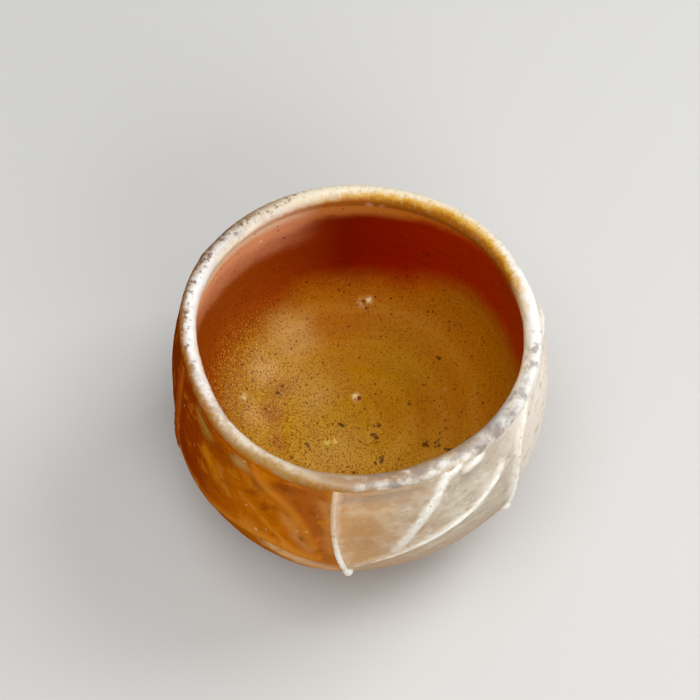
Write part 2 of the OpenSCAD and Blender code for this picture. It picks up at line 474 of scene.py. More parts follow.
# %% Hand-thrown group
# Each dent has its angle, its half width and how far the belly and the lip move out
HAND_DENTS = [
    (0, 35, 0.35, 0.35),
    (20, 10, -0.90, -0.30),
    (85, 30, -0.30, -0.30),
    (155, 20, 0.70, 0.70),
    (197, 14, 0.0, -1.0),
    (222, 10, 0.40, 0.0),
    (247, 22, 1.70, 0.10),
    (255, 8, 0.50, 0.0),
    (271, 6, -0.45, 0.0),
    (296, 20, -0.65, -0.65),
    (318, 12, 0.45, 0.0),
]
# Each lift has its angle, its half width and how far the lip moves up
LIP_LIFTS = [(85, 30, -0.9), (110, 15, 0.5), (205, 25, 0.2), (275, 28, 0.25), (330, 30, -0.25)]
# Heights between which the clay starts to give, the belly gives way to the lip and the lip lifts,
# and the radius from which the hand moves the clay in full
GIVES = (10 * MM, 30 * MM)
TO_LIP = (30 * MM, 52 * MM)
LIFTS = (36 * MM, 60 * MM)
FULL_R = 20 * MM

hand_socket = [("Position", "Vector")]
hand = Graph(new_group("thrown_hand", "GeometryNodeTree", hand_socket, hand_socket))
place = hand.given("Position")
height = hand.parts(place)[2]
outward = hand.outward(place)


def around_sum(waves):
    """The sum of soft bumps around the cup, in metres."""
    total = 0.0
    for angle, width, amount in waves:
        angle, width = math.radians(angle), math.radians(width)
        facing = hand.vector("DOT_PRODUCT", outward, (math.cos(angle), math.sin(angle), 0))
        bump = hand.math("EXPONENT", hand.times(hand.minus(facing, 1.0), 1 / width**2))
        total = hand.plus(hand.times(bump, amount * MM), total)
    return total


at_lip = hand.fade(height, *TO_LIP)
belly_swell = around_sum([(angle, width, belly) for angle, width, belly, _ in HAND_DENTS])
lip_swell = around_sum([(angle, width, lip) for angle, width, _, lip in HAND_DENTS])
swell = hand.plus(hand.times(belly_swell, hand.minus(1.0, at_lip)), hand.times(lip_swell, at_lip))
off_axis = hand.fade(hand.vector("LENGTH", hand.flat(place)), 0.0, FULL_R)
swell = hand.times(swell, off_axis, hand.fade(height, *GIVES))
lift = hand.times(around_sum(LIP_LIFTS), hand.fade(height, *LIFTS))
moved = hand.vector("ADD", place, hand.scaled(outward, swell))
hand.node("NodeGroupOutput", {"Position": hand.vector("ADD", moved, hand.joined(0.0, 0.0, lift))})


def by_hand(graph):
    """The position moved with the clay, inside another tree."""
    made = graph.node("GeometryNodeGroup", node_tree=hand.tree)
    graph.feed(made.inputs["Position"], graph.place)
    return made.outputs["Position"]


print("the hand has", len(HAND_DENTS), "dents and", len(LIP_LIFTS), "lifts")

# %% [markdown]
# ## Turned shell
# One tree turns any outline into a solid of revolution. A grid of points takes its rows from the
# outline and its columns from the angle. Then the hand moves it, lumps roughen it and the wheel
# leaves rings. The outline's own `along` number goes with it, for the materials, and the lumps calm
# down between two values of it, where two coats meet.

# %% Turned shell tree
CALM_LUMPS = 0.1
RING_WANDER = 6.0
SAME_POINT = 1e-6

shell = Shape("turned_shell", [
    ("Outline", "Object"),
    ("Columns", "Int", 480),
    ("Lump Height", "Float", 0.0),
    ("Lump Scale", "Float", 200.0),
    ("Calm From", "Float", 2.0),
    ("Calm To", "Float", 3.0),
    ("Ring Depth", "Float", 0.0),
    ("Ring Pitch", "Float", 2 * MM),
])
outline = shell.mesh_of("Outline")
rows = shell.node("GeometryNodeAttributeDomainSize", {"Geometry": outline}).outputs["Point Count"]
columns = shell.given("Columns")
grid = shell.node("GeometryNodeMeshGrid", {
    "Size X": 1.0,
    "Size Y": 1.0,
    "Vertices X": shell.plus(columns, 1.0),
    "Vertices Y": rows,
}).outputs["Mesh"]
index = shell.node("GeometryNodeInputIndex").outputs[0]
row, column = (
    shell.node("FunctionNodeIntegerMath", {0: index, 1: rows}, operation=operation).outputs[0]
    for operation in ("MODULO", "DIVIDE_FLOOR")
)
along = shell.number("along")
marked = shell.store(grid, "along", shell.sample(outline, along, row))
angle = shell.times(shell.over(column, columns), TURN)
turned = shell.node(
    "ShaderNodeVectorRotate",
    {"Vector": shell.sample(outline, shell.place, row, "FLOAT_VECTOR"), "Angle": angle},
    rotation_type="Z_AXIS",
).outputs[0]
closed = shell.node(
    "GeometryNodeMergeByDistance", {"Geometry": shell.move(marked, turned), "Distance": SAME_POINT}
).outputs[0]
thrown = shell.move(closed, by_hand(shell))

lump = shell.sway(shell.given("Lump Scale"), 3.0, shell.given("Lump Height"))
calm = shell.fade(along, shell.given("Calm From"), shell.given("Calm To"), 1.0, CALM_LUMPS)
wander = shell.times(shell.noise(60.0, 1.0), RING_WANDER)
reach = shell.vector("LENGTH", shell.flat(shell.place))
turns = shell.over(shell.plus(shell.parts(shell.place)[2], reach), shell.given("Ring Pitch"))
ring = shell.math("SINE", shell.plus(shell.times(turns, TURN), wander))
ring = shell.times(ring, shell.given("Ring Depth"))
shell.end(shell.push(thrown, shell.plus(shell.times(lump, calm), ring)))

# %% [markdown]
# ## Slip lines
# The lines are trailed by hand: six upright spines that end in a blob, and in four of the panels
# between them a thin sweep and a broader vein. Their paths are the model's, on the wall. Two short
# dabs at the lip, too small for the model, are added.

# %% Sizes of the lines
FRONT_ANGLE = 263
# Spines: shift, head lean and tail lean in degrees, and how much higher the blob is
SPINES = [
    (-1, 0.6, 5, 0),
    (1, 7.3, -1, 0),
    (-2, -14.5, 2, 1),
    (2, 3.7, 4, 0),
    (-1, 6, -2, 1),
    (-7, -3, 2.5, 2),
]
SPINE_STEP = 360 / len(SPINES)
LINED_PANELS = [0, 2, 3, 5]
# Sweeps: height of the head and sag. Veins: angles of head and tail, tail's height and bow
SWEEPS = [(49.5, 3.3), (46, 3), (50, 3), (34, -3)]
VEINS = [(35.7, 18, 35.5, 0.5), (33, 16, 37, 1), (36.3, 20, 36, 0.5), (31.5, 53.5, 39, 4.5)]
# Dabs: angles from the front spine and heights of both ends
DABS = [
    ((42.6, 57.6), (47.8, 58.9)),
    ((36.3, 58.4), (40.6, 60.3)),
]
# The lines of one panel are faint: how much of their rise is left
FAINT_PANEL = 5
FAINT_SWEEP = 0.45
FAINT_VEIN = 0.4
# A blob: its height, how much it swells, the share of the spine where it begins, and its tip
BLOB_H = 23
BLOB_SWELL = 0.7
BLOB_FROM = 0.9
BLOB_TIP = 0.02
# A sweep starts this far above a blob and ends these degrees short of the next spine
SWEEP_UP = 5
SWEEP_SHORT = 6
# The model's lines end just below the white glaze. Here their heads go on up under it
EDGE_GAP = 0.2
TOP_H = out_edge_z / MM - EDGE_GAP
LEAN_BELOW_TOP = 1
UNDER_LIP = 1.2
# Points on each kind of line
SPINE_POINTS = 110
PANEL_LINE_POINTS = 90
DAB_POINTS = 30
# Radius of the largest round that a bead may be cut from, so that it stays inside the wall
WIDEST_BEAD = 1.8
# Stops along each kind of line: its width, its rise, and how much of the clay shows through it
LINE_FORMS = {
    "spine": (
        [(0, 1.5)],
        [(0, 0.35), (0.08, 0.7)],
        [(0, 0.35), (0.25, 0.3), (0.5, 0.1), (1, 0)],
    ),
    "sweep": (
        [(0, 0.8), (0.12, 1.3), (0.8, 1.7), (0.96, 1.8), (1, 1.0)],
        [(0, 0.25), (0.2, 0.4), (0.8, 0.6), (0.96, 0.6), (1, 0.2)],
        [(0, 0.6), (0.3, 0.35), (0.6, 0.05), (1, 0)],
    ),
    "vein": (
        [(0, 1.8), (0.1, 2.3), (0.6, 2.5), (0.85, 2.2), (1, 1.1)],
        [(0, 0.5), (0.1, 0.6), (0.5, 0.5), (0.85, 0.3), (1, 0.12)],
        [(0, 0), (0.4, 0), (0.7, 0.22), (1, 0.65)],
    ),
    "dab": (
        [(0, 0.8), (0.3, 1.7), (0.8, 1.8), (1, 0.9)],
        [(0, 0.15), (0.3, 0.5), (0.8, 0.5), (1, 0.2)],
        [(0, 0)],
    ),
}
print(len(SPINES), "spines,", len(SWEEPS), "sweeps,", len(VEINS), "veins and", len(DABS), "dabs")


# %% Trailing a line
def spine_angle(i, height):
    """Angle of a spine at a height, leaning at its head and tail."""
    shift, head_lean, tail_lean, blob_up = SPINES[i]
    low = BLOB_H + blob_up
    up = (height - low) / (TOP_H - LEAN_BELOW_TOP - low)
    return FRONT_ANGLE + SPINE_STEP * i + shift + head_lean * up**6 + tail_lean * (1 - up) ** 2


def on_wall(turn, height):
    """The wall's place and outward direction at an angle and a height."""
    turn, height, step = math.radians(turn), height * MM, 0.1 * MM
    slope = (outside_r(height + step) - outside_r(height - step)) / (2 * step)
    out = np.array([math.cos(turn), math.sin(turn), -slope])
    radius = outside_r(height)
    place = np.array([radius * math.cos(turn), radius * math.sin(turn), height])
    return place, out / np.linalg.norm(out)


def blob(share):
    """Size along a spine: even, then a blob at the tail."""
    late = (share - BLOB_FROM) / (1 - BLOB_FROM)
    if late < 0:
        return 1.0
    if late < 0.5:
        return 1 + BLOB_SWELL * math.sin(math.pi * late)
    return (1 + BLOB_SWELL) * math.sqrt(max(BLOB_TIP, 1 - (2 * late - 1) ** 2))


marks_on_wall, chains, radii, thinness = [], [], [], []


def trail(kind, share, turns, heights, size=1.0, rise_left=1.0):
    """Adds a round bead along the wall, in the form of its kind. Size makes it wider and higher
    from place to place, and rise_left is the share of its rise that a faint line keeps."""
    width, rise, thin = (by_stops(share, stops) for stops in LINE_FORMS[kind])
    width, rise = width * size, rise * size * rise_left
    places = [on_wall(turn, height) for turn, height in zip(turns, heights)]
    round_r = np.minimum(WIDEST_BEAD, (width**2 / 4 + rise**2) / (2 * rise)) * MM
    marks_on_wall.append([place for place, _ in places])
    sunk = zip(places, rise * MM - round_r)
    chains.append([place + out * depth for (place, out), depth in sunk])
    radii.extend(round_r)
    thinness.extend(thin)


print("a blob swells to", 1 + BLOB_SWELL, "times its spine")

# %% Paths of the lines
share = np.linspace(0, 1, SPINE_POINTS)
for i, (*_, blob_up) in enumerate(SPINES):
    heights = np.linspace(TOP_H + UNDER_LIP, BLOB_H + blob_up, SPINE_POINTS)
    turns = [spine_angle(i, height) for height in heights]
    trail("spine", share, turns, heights, size=np.array([blob(s) for s in share]))

share = np.linspace(0, 1, PANEL_LINE_POINTS)
for panel, (head_h, sag) in zip(LINED_PANELS, SWEEPS):
    low = BLOB_H + SPINES[panel][3] + SWEEP_UP
    first = spine_angle(panel, low)
    last = FRONT_ANGLE + SPINE_STEP * (panel + 1) - SWEEP_SHORT
    heights = low + (head_h - low) * share - sag * np.sin(math.pi * share**2)
    rise_left = FAINT_SWEEP if panel == FAINT_PANEL else 1.0
    trail("sweep", share, first + (last - first) * share, heights, rise_left=rise_left)

for panel, (head, tail, tail_h, bow) in zip(LINED_PANELS, VEINS):
    top = TOP_H + UNDER_LIP
    turns = FRONT_ANGLE + SPINE_STEP * panel + head + (tail - head) * share
    heights = top + (tail_h - top) * share + bow * np.sin(math.pi * share**2)
    trail("vein", share, turns, heights, rise_left=FAINT_VEIN if panel == FAINT_PANEL else 1.0)

share = np.linspace(0, 1, DAB_POINTS)
for (first, low), (last, high) in DABS:
    turns = FRONT_ANGLE + first + (last - first) * share
    trail("dab", share, turns, low + (high - low) * share)

line_marks = wire("line_marks", marks_on_wall)
line_paths = wire("line_paths", chains, {"bead_size": radii, "thinness": thinness})
print(len(chains), "lines with", len(radii), "points")

# %% [markdown]
# A bead is a circle swept along each path, moved with the clay and left a little lumpy, as slip
# from a trailer is.

# %% Slip bead tree
bead = Shape("slip_bead", [
    ("Paths", "Object"),
    ("Sides", "Int", 14),
    ("Lump Height", "Float", 0.45 * MM),
    ("Lump Scale", "Float", 480.0),
])
on_clay = bead.move(bead.mesh_of("Paths"), by_hand(bead))
circle = bead.node(
    "GeometryNodeCurvePrimitiveCircle", {"Resolution": bead.given("Sides"), "Radius": 1.0}
)
swept = bead.node("GeometryNodeCurveToMesh", {
    "Curve": bead.node("GeometryNodeMeshToCurve", {"Mesh": on_clay}).outputs[0],
    "Profile Curve": circle.outputs["Curve"],
    "Scale": bead.number("bead_size"),
    "Fill Caps": True,
}).outputs[0]
lump = bead.sway(bead.given("Lump Scale"), 2.0, bead.given("Lump Height"))
bead.end(bead.push(swept, lump))

# %% [markdown]
# ## Pressed panels
# Between the lines the wall is pressed in, so that each line runs on a ridge. The tree measures
# how far each point of the outside is from the nearest line. It keeps that as `line_gap`, which
# the clay's colours use as well.

# %% Pressed panel tree
# Heights between which the press sets in and fades out, and how far a face has to look outward
PRESS_SETS_IN = (9 * MM, 18 * MM)
PRESS_FADES_OUT = (62 * MM, 56 * MM)
LOOKS_OUT = (0.05, 0.3)

press = Shape("pressed_panels", [
    ("Lines", "Object"),
    ("Press Depth", "Float", 0.6 * MM),
    ("Press Reach", "Float", 10 * MM),
    ("Ridge Height", "Float", 0.35 * MM),
    ("Ridge Width", "Float", 1.4 * MM),
])
lines = press.move(press.mesh_of("Lines"), by_hand(press))
near = press.node("GeometryNodeProximity", {0: lines}, target_element="EDGES")
gap = near.outputs["Distance"]
kept = press.store(press.given("Geometry"), "line_gap", gap)
height = press.parts(press.place)[2]
close = press.math("SUBTRACT", 1.0, press.over(gap, press.given("Press Reach")), clamp=True)
hollow = press.times(press.minus(1.0, press.times(close, close)), press.fade(height, *PRESS_SETS_IN))
across = press.over(gap, press.given("Ridge Width"))
ridge = press.math("EXPONENT", press.times(across, across, -1.0))
lift = press.minus(
    press.times(ridge, press.given("Ridge Height")), press.times(hollow, press.given("Press Depth"))
)
facing = press.vector("DOT_PRODUCT", press.normal, press.outward(press.place))
lift = press.times(lift, press.fade(facing, *LOOKS_OUT), press.fade(height, *PRESS_FADES_OUT))
press.end(press.push(kept, lift))

# %% [markdown]
# ## Marks inside the bowl
# The wheel leaves a shallow spiral on the floor. Gas leaves pits with a raised rim, and iron
# leaves dark blooms. The tree keeps the distances to both as `pit_gap` and `bloom_gap`.

# %% Places of the marks
# Pits have their place across the bowl and their radius
PITS = [
    (-0.8, 7.8, 0.9),
    (1.1, 32.2, 1.0),
    (2.6, 32.6, 0.8),
    (-28.6, 5.0, 0.7),
    (9.5, -17.0, 0.4),
    (-15.2, -9.8, 0.35),
    (21.4, 9.2, 0.4),
]
# A bloom is a cluster: its place, its spread and how many spots it has
BLOOMS = [
    (12.2, 35.3, 0.4, 4),
    (19.6, 17.5, 0.4, 4),
    (12.8, 6.2, 0.3, 3),
    (-4.5, 0.2, 0.5, 5),
    (2.7, -1.2, 1.6, 9),
    (18.8, -5.3, 1.7, 16),
    (-1.3, -13.2, 0.4, 3),
    (4.6, -9.7, 1.0, 6),
    (-12.5, -6.5, 0.5, 3),
    (-20.0, 8.0, 0.3, 2),
    (7.0, 20.5, 0.3, 2),
]
BLOOM_SPOT_R = (0.25, 0.6)
chance = np.random.default_rng(11)
bloom_spots = []
for mx, my, spread, count in BLOOMS:
    for dx, dy in chance.normal(0, spread, (count, 2)):
        bloom_spots.append((mx + dx, my + dy, chance.uniform(*BLOOM_SPOT_R)))


def bowl_z(radius):
    """Height of the glazed floor at a radius."""
    share = min(1.0, radius / BOWL_R)
    full = (1 - share**INSIDE_FULLNESS) ** (1 / INSIDE_FULLNESS)
    return BELLY_H - (BELLY_H - FLOOR_Z) * full + GLAZE_T


def bowl_points(name, spots):
    """A helper mesh of marks on the bowl, with their radii."""
    places = [[(mx * MM, my * MM, bowl_z(math.hypot(mx, my) * MM))] for mx, my, _ in spots]
    return wire(name, places, {"mark_size": [radius * MM for _, _, radius in spots]})


pit_points = bowl_points("pit_points", PITS)
bloom_points = bowl_points("bloom_points", bloom_spots)
print(len(PITS), "pits and", len(bloom_spots), "spots in", len(BLOOMS), "blooms")

# %% Bowl mark tree
# The spiral's pitch and the radii between which it fades out and sets in, and how far the marks
# are torn
SPIRAL_PITCH = 8.5 * MM
SPIRAL_FADES_OUT = (34 * MM, 20 * MM)
SPIRAL_SETS_IN = (1 * MM, 6 * MM)
MARK_TEAR = 1.3 * MM

marks = Shape("bowl_marks", [
    ("Pits", "Object"),
    ("Blooms", "Object"),
    ("Spiral Depth", "Float", 0.2 * MM),
    ("Spiral Pitch", "Float", SPIRAL_PITCH),
    ("Pit Depth", "Float", 0.6 * MM),
    ("Rim Height", "Float", 0.16 * MM),
    ("Scab Height", "Float", 0.06 * MM),
])
ragged = marks.vector("ADD", marks.place, marks.stray(900.0, 2.0, MARK_TEAR))


def mark_gap(name, label, geometry):
    """The distance to the nearest mark over its radius, and the geometry with it stored."""
    spots = marks.mesh_of(name)
    here = {0: spots, "Sample Position": ragged}
    near = marks.node("GeometryNodeProximity", here, target_element="POINTS")
    nearest = marks.node("GeometryNodeSampleNearest", here, domain="POINT").outputs[0]
    size = marks.sample(spots, marks.number("mark_size"), nearest)
    gap = marks.over(near.outputs["Distance"], size)
    return gap, marks.store(geometry, label, gap)


pit_gap, with_pits = mark_gap("Pits", "pit_gap", marks.given("Geometry"))
bloom_gap, with_both = mark_gap("Blooms", "bloom_gap", with_pits)
px, py, _ = marks.parts(marks.place)
reach = marks.vector("LENGTH", marks.flat(marks.place))
bearing = marks.over(marks.math("ARCTAN2", py, px), TURN)
turns = marks.minus(marks.over(reach, marks.given("Spiral Pitch")), bearing)
spiral = marks.times(
    marks.math("SINE", marks.times(turns, TURN)),
    marks.fade(reach, *SPIRAL_FADES_OUT),
    marks.fade(reach, *SPIRAL_SETS_IN),
    marks.given("Spiral Depth"),
)
# A mark's parts begin and are full at these shares of its radius
pit = marks.times(marks.fade(pit_gap, 1.0, 0.35), marks.given("Pit Depth"))
rim = marks.times(marks.fade(pit_gap, 1.8, 1.1), marks.given("Rim Height"))
scab = marks.times(marks.fade(bloom_gap, 1.1, 0.5), marks.given("Scab Height"))
inward = marks.times(marks.vector("DOT_PRODUCT", marks.normal, marks.outward(marks.place)), -1.0)
upward = marks.parts(marks.normal)[2]
inside = marks.fade(marks.math("MAXIMUM", inward, upward), 0.0, 0.2)
lift = marks.times(marks.minus(marks.plus(spiral, rim, scab), pit), inside)
marks.end(marks.push(with_both, lift))

# %% [markdown]
# ## Materials
# All the colours are mixed from noise and from the numbers that the trees have stored. First come
# the helpers that the five finishes share. A brush stroke is a group, as the flame's marks need it
# many times. A `Paint` lays one tone over another, by the product of its shares. A share is a
# number, an output, or a fade that is written as (value, start, end).

# %% Brush stroke group
CHART_R_MM = 44
AROUND_MM = TURN * CHART_R_MM
stroke_ends = [("Chart", "Vector"), ("Start", "Vector"), ("End", "Vector"), ("Width", "Float")]
brush = Graph(new_group("brush_stroke", "ShaderNodeTree", [("Mask", "Float")], stroke_ends))
start = brush.given("Start")
from_start = brush.vector("SUBTRACT", brush.given("Chart"), start)
length = brush.vector("SUBTRACT", brush.given("End"), start)
share = brush.over(
    brush.vector("DOT_PRODUCT", from_start, length),
    brush.vector("DOT_PRODUCT", length, length),
    clamp=True,
)
gap = brush.vector("DISTANCE", from_start, brush.scaled(length, share))
brush.node("NodeGroupOutput", {"Mask": brush.fade(gap, brush.given("Width"), 0.0)})
print("brush stroke has", len(brush.tree.nodes), "nodes")

# %% Paint helper
# Left and right meet in a seam at the front spine, which leans with it from its head to its blob
SEAM_ANGLE = FRONT_ANGLE - 0.7
LEAN_TOP = 58
LEAN_HEIGHT = 35
LEAN_TURN = 5 / 360
CHART_BLUR_MM = 4.0
# A speck is torn by this share of its cell, and whole inside this share of its size
SPECK_TEAR = 0.5
SPECK_CORE = 0.6


class Paint(Graph):
    """A material's node tree, with the colour that is laid so far."""

    def __init__(self, name):
        self.material = bpy.data.materials.new(name)
        self.material.use_nodes = True
        super().__init__(self.material.node_tree)
        self.colour = None
        self.place = self.node("ShaderNodeTexCoord").outputs["Object"]
        self.place_mm = self.scaled(self.place, 1 / MM)
        self.x, self.y, self.z = self.parts(self.place_mm)
        # Shares of a turn, from +X and from the seam at the front spine
        angle = self.over(self.math("ARCTAN2", self.y, self.x), TURN)
        self.bearing = self.math("FRACT", self.plus(angle, 1.0))
        down = self.over(self.minus(LEAN_TOP, self.z), LEAN_HEIGHT, clamp=True)
        straight = self.minus(angle, self.times(down, down, LEAN_TURN))
        self.turn = self.math("FRACT", self.plus(straight, 2 - SEAM_ANGLE / 360))
        # A flat chart of the wall in millimetres, with the front spine in the middle
        around = self.math("FRACT", self.plus(angle, 2.5 - FRONT_ANGLE / 360))
        around = self.times(self.minus(around, 0.5), AROUND_MM)
        chart = self.joined(around, self.z, 0.0)
        self.chart = self.vector("ADD", chart, self.stray(220.0, 3.0, CHART_BLUR_MM))

    def mix(self, colour, tone, *shares):
        """A colour with a tone over it, by the product of the shares."""
        made = self.node("ShaderNodeMix", data_type="RGBA")
        for socket, value in ((0, self.times(*shares)), (6, colour), (7, tone)):
            self.feed(made.inputs[socket], value)
        return made.outputs[2]

    def lay(self, tone, *shares):
        """Lays a tone over the colour so far, by the product of the shares."""
        self.colour = self.mix(self.colour, tone, *shares)

    def ramp(self, value, stops):
        """A colour from stops of (place, colour)."""
        made = self.node("ShaderNodeValToRGB", {0: value})
        band = made.color_ramp
        while len(band.elements) < len(stops):
            band.elements.new(0.5)
        for element, (at, tone) in zip(band.elements, stops):
            element.position = at
            element.color = (*tone, 1.0)
        return made.outputs["Color"]

    def round_ramp(self, rows, column):
        """A number or a colour that changes round the cup, from a column of rows that start with
        their angle from +X. The first row's angle is 0."""
        stops = [(row[0] / 360, row[column]) for row in rows] + [(1.0, rows[0][column])]
        greys = [(at, (tone,) * 3 if isinstance(tone, float) else tone) for at, tone in stops]
        return self.ramp(self.bearing, greys)

    def stored(self, label):
        """A number that a shape tree has stored."""
        return self.node("ShaderNodeAttribute", attribute_name=label).outputs["Fac"]

    def stroke(self, start, end, width):
        """1 on a stroke between two places on the wall, fading to 0 over its width."""
        made = self.node("ShaderNodeGroup", node_tree=brush.tree)
        ends = [(angle * AROUND_MM / 360, height, 0) for angle, height in (start, end)]
        for name, value in zip(("Chart", "Start", "End", "Width"), (self.chart, *ends, width)):
            self.feed(made.inputs[name], value)
        return made.outputs["Mask"]

    def specks(self, scale, size, share):
        """Spots in some of the cells of a given number per metre: 1 in a spot and 0 outside."""
        tear = self.stray(scale * 1.5, 1.0, SPECK_TEAR / scale)
        ragged = self.vector("ADD", self.place, tear)
        cells = self.node("ShaderNodeTexVoronoi", {"Vector": ragged, "Scale": scale})
        chosen = self.math("LESS_THAN", self.parts(cells.outputs["Color"])[0], share)
        return self.times((cells.outputs["Distance"], size, size * SPECK_CORE), chosen)

    def spot(self, place, row, full, *blur):
        """Lays a round spot, from its centre, radius, tone and strength. It is whole inside the full
        share of its radius."""
        *centre, radius, tone, strength = row
        gap = self.plus(self.vector("DISTANCE", place, centre), *blur)
        self.lay(tone, (gap, radius, radius * full), strength)

    def end(self, roughness, specular, height, depth, strength):
        """Feeds the shader with the colour, the gloss and a fine relief."""
        bump = self.node("ShaderNodeBump", {"Height": height, "Distance": depth, "Strength": strength})
        shader = self.tree.nodes["Principled BSDF"].inputs
        self.feed(shader["Base Color"], self.colour)
        self.feed(shader["Roughness"], roughness)
        self.feed(shader["Specular IOR Level"], specular)
        self.feed(shader["Normal"], bump.outputs[0])
        print(self.material.name, "has", len(self.tree.nodes), "nodes")


print("paint helper ready")

# %% [markdown]
# ### Flashed clay
# The outside is where the kiln's flame shows: dark amber on the left, tan beside the front spine,
# mottled cream on its right and pink-cream on the right side.

# %% Flashed clay
# Stops go round the cup from the front spine
FLASH = [
    (0.000, (0.54, 0.29, 0.11)),
    (0.030, (0.48, 0.28, 0.13)),
    (0.050, (0.49, 0.34, 0.20)),
    (0.075, (0.49, 0.37, 0.25)),
    (0.100, (0.50, 0.42, 0.31)),
    (0.145, (0.50, 0.42, 0.32)),
    (0.185, (0.70, 0.62, 0.53)),
    (0.240, (0.78, 0.70, 0.60)),
    (0.360, (0.62, 0.48, 0.33)),
    (0.470, (0.50, 0.26, 0.09)),
    (0.600, (0.38, 0.13, 0.01)),
    (0.720, (0.25, 0.030, 0.0)),
    (0.815, (0.28, 0.030, 0.0)),
    (0.855, (0.34, 0.048, 0.0)),
    (0.890, (0.42, 0.090, 0.0)),
    (0.950, (0.47, 0.125, 0.001)),
    (0.985, (0.37, 0.105, 0.012)),
    (1.000, (0.42, 0.14, 0.02)),
]
# Each mark has its two ends, by degrees from the front spine and height, its width, its strength
# and its colour
FLAME_MARKS = [
    ((-12, 55), (-6, 40), 7.0, 0.7, (0.32, 0.070, 0.006)),
    ((-3, 55), (-2, 38), 2.6, 0.5, (0.54, 0.23, 0.07)),
    ((-35, 46), (-16, 41), 6.0, 0.6, (0.47, 0.115, 0.0)),
    ((-30, 47), (-9, 34), 1.6, 0.6, (0.58, 0.22, 0.02)),
    ((-28, 53.5), (-16, 48), 2.6, 0.5, (0.54, 0.17, 0.01)),
    ((-14, 46), (-8, 38), 3.0, 0.6, (0.64, 0.29, 0.08)),
    ((-5, 49), (-4, 45), 2.4, 0.5, (0.28, 0.07, 0.006)),
    ((-47, 50), (-41, 45), 3.4, 0.6, (0.74, 0.27, 0.004)),
    ((-40, 49), (-36, 43), 2.2, 0.4, (0.68, 0.28, 0.03)),
    ((-27, 37), (-16, 33), 4.0, 0.8, (0.58, 0.20, 0.020)),
    ((-19, 32), (-9, 30), 5.0, 0.9, (0.74, 0.46, 0.20)),
    ((-9, 29), (1, 25), 6.0, 0.9, (0.60, 0.36, 0.18)),
    ((-54, 57.5), (-47, 55.5), 3.4, 0.8, (0.46, 0.25, 0.04)),
    ((-34, 57.5), (-30, 57.5), 3.0, 0.8, (0.47, 0.29, 0.09)),
    ((-25, 54.5), (-14, 57), 2.6, 0.7, (0.25, 0.070, 0.006)),
    ((-47, 54), (-36, 53.5), 3.2, 0.6, (0.26, 0.050, 0.0)),
    ((2, 57.5), (26, 57.5), 2.4, 0.7, (0.37, 0.25, 0.17)),
    ((10, 54.5), (27, 56), 1.6, 0.5, (0.44, 0.25, 0.12)),
    ((4, 53), (17, 53), 2.4, 0.7, (0.66, 0.46, 0.26)),
    ((13, 51), (17, 45), 2.2, 0.6, (0.58, 0.43, 0.27)),
    ((8, 45), (10, 40), 5.0, 0.6, (0.45, 0.22, 0.07)),
    ((15, 42), (21, 40), 3.0, 0.6, (0.44, 0.27, 0.12)),
    ((42, 55), (46, 57), 3.0, 0.5, (0.36, 0.30, 0.27)),
    ((44, 40), (47, 41), 2.4, 0.8, (0.72, 0.64, 0.55)),
    ((30, 30), (33, 31), 2.4, 0.8, (0.68, 0.58, 0.46)),
    ((33, 46), (46, 51), 5.0, 0.4, (0.66, 0.60, 0.49)),
]


def flash_colour(paint):
    """The flame's colour around the cup. Its edges are ragged, but for the seam at the front spine."""
    ragged = paint.times(paint.sway(90.0, 3.0, 0.05), (paint.turn, 0.985, 0.95))
    return paint.ramp(paint.plus(paint.turn, ragged), FLASH)


clay = Paint("flashed_clay")
clay.colour = flash_colour(clay)
for start, end, width, strength, tone in FLAME_MARKS:
    clay.lay(tone, clay.stroke(start, end, width), strength)
print("flashed clay has", len(FLAME_MARKS), "flame marks")

# %% [markdown]
# Over the flame's marks come the cloudy ash on the right, the mottled amber on the left, a tan lower
# down and the milky edge that each line of slip has. Fine specks are last.

# %% Flashed clay, its skin
left_side = clay.times((clay.turn, 0.62, 0.74), (clay.turn, 1.005, 0.995))
right_side = clay.fade(clay.turn, 0.45, 0.30)
cloud = clay.noise(170.0, 5.0, 0.62)
grain = clay.noise(700.0, 3.0, 0.6)
squat = clay.vector("MULTIPLY", clay.place, (1.0, 1.0, 1.4))
fleck = clay.noise(300.0, 4.0, 0.62, at=squat)

# Ash: pale clouds, dark flecks and pale flecks
ash = clay.times(right_side, (clay.turn, 0.03, 0.10, 0.35, 1.0))
clay.lay((0.76, 0.70, 0.60), (cloud, 0.48, 0.68), ash, 0.5)
clay.lay((0.33, 0.23, 0.15), (fleck, 0.52, 0.70), ash, 0.6)
clay.lay((0.80, 0.74, 0.64), (fleck, 0.42, 0.30), ash, 0.4)

# Amber: dark clouds, bright gaps between them and dark flecks
clay.lay((0.24, 0.042, 0.001), (cloud, 0.52, 0.68), left_side, 0.6)
clay.lay((0.64, 0.22, 0.008), (cloud, 0.46, 0.30), left_side, 0.5)
clay.lay((0.20, 0.040, 0.002), (fleck, 0.55, 0.72), left_side, 0.5)

# A tan lower down: under the right side, near the foot and below the front spine
under_tan = clay.times((clay.z, 33, 27), right_side)
clay.lay((0.43, 0.30, 0.195), under_tan, (cloud, 0.35, 0.6, 0.9, 0.55))
clay.lay((0.42, 0.22, 0.10), (clay.z, 24, 11), 0.75)
below_spine = clay.math("MAXIMUM", clay.fade(clay.turn, 0.10, 0.0), clay.fade(clay.turn, 0.88, 1.0))
clay.lay((0.46, 0.25, 0.10), below_spine, (clay.z, 25, 20))

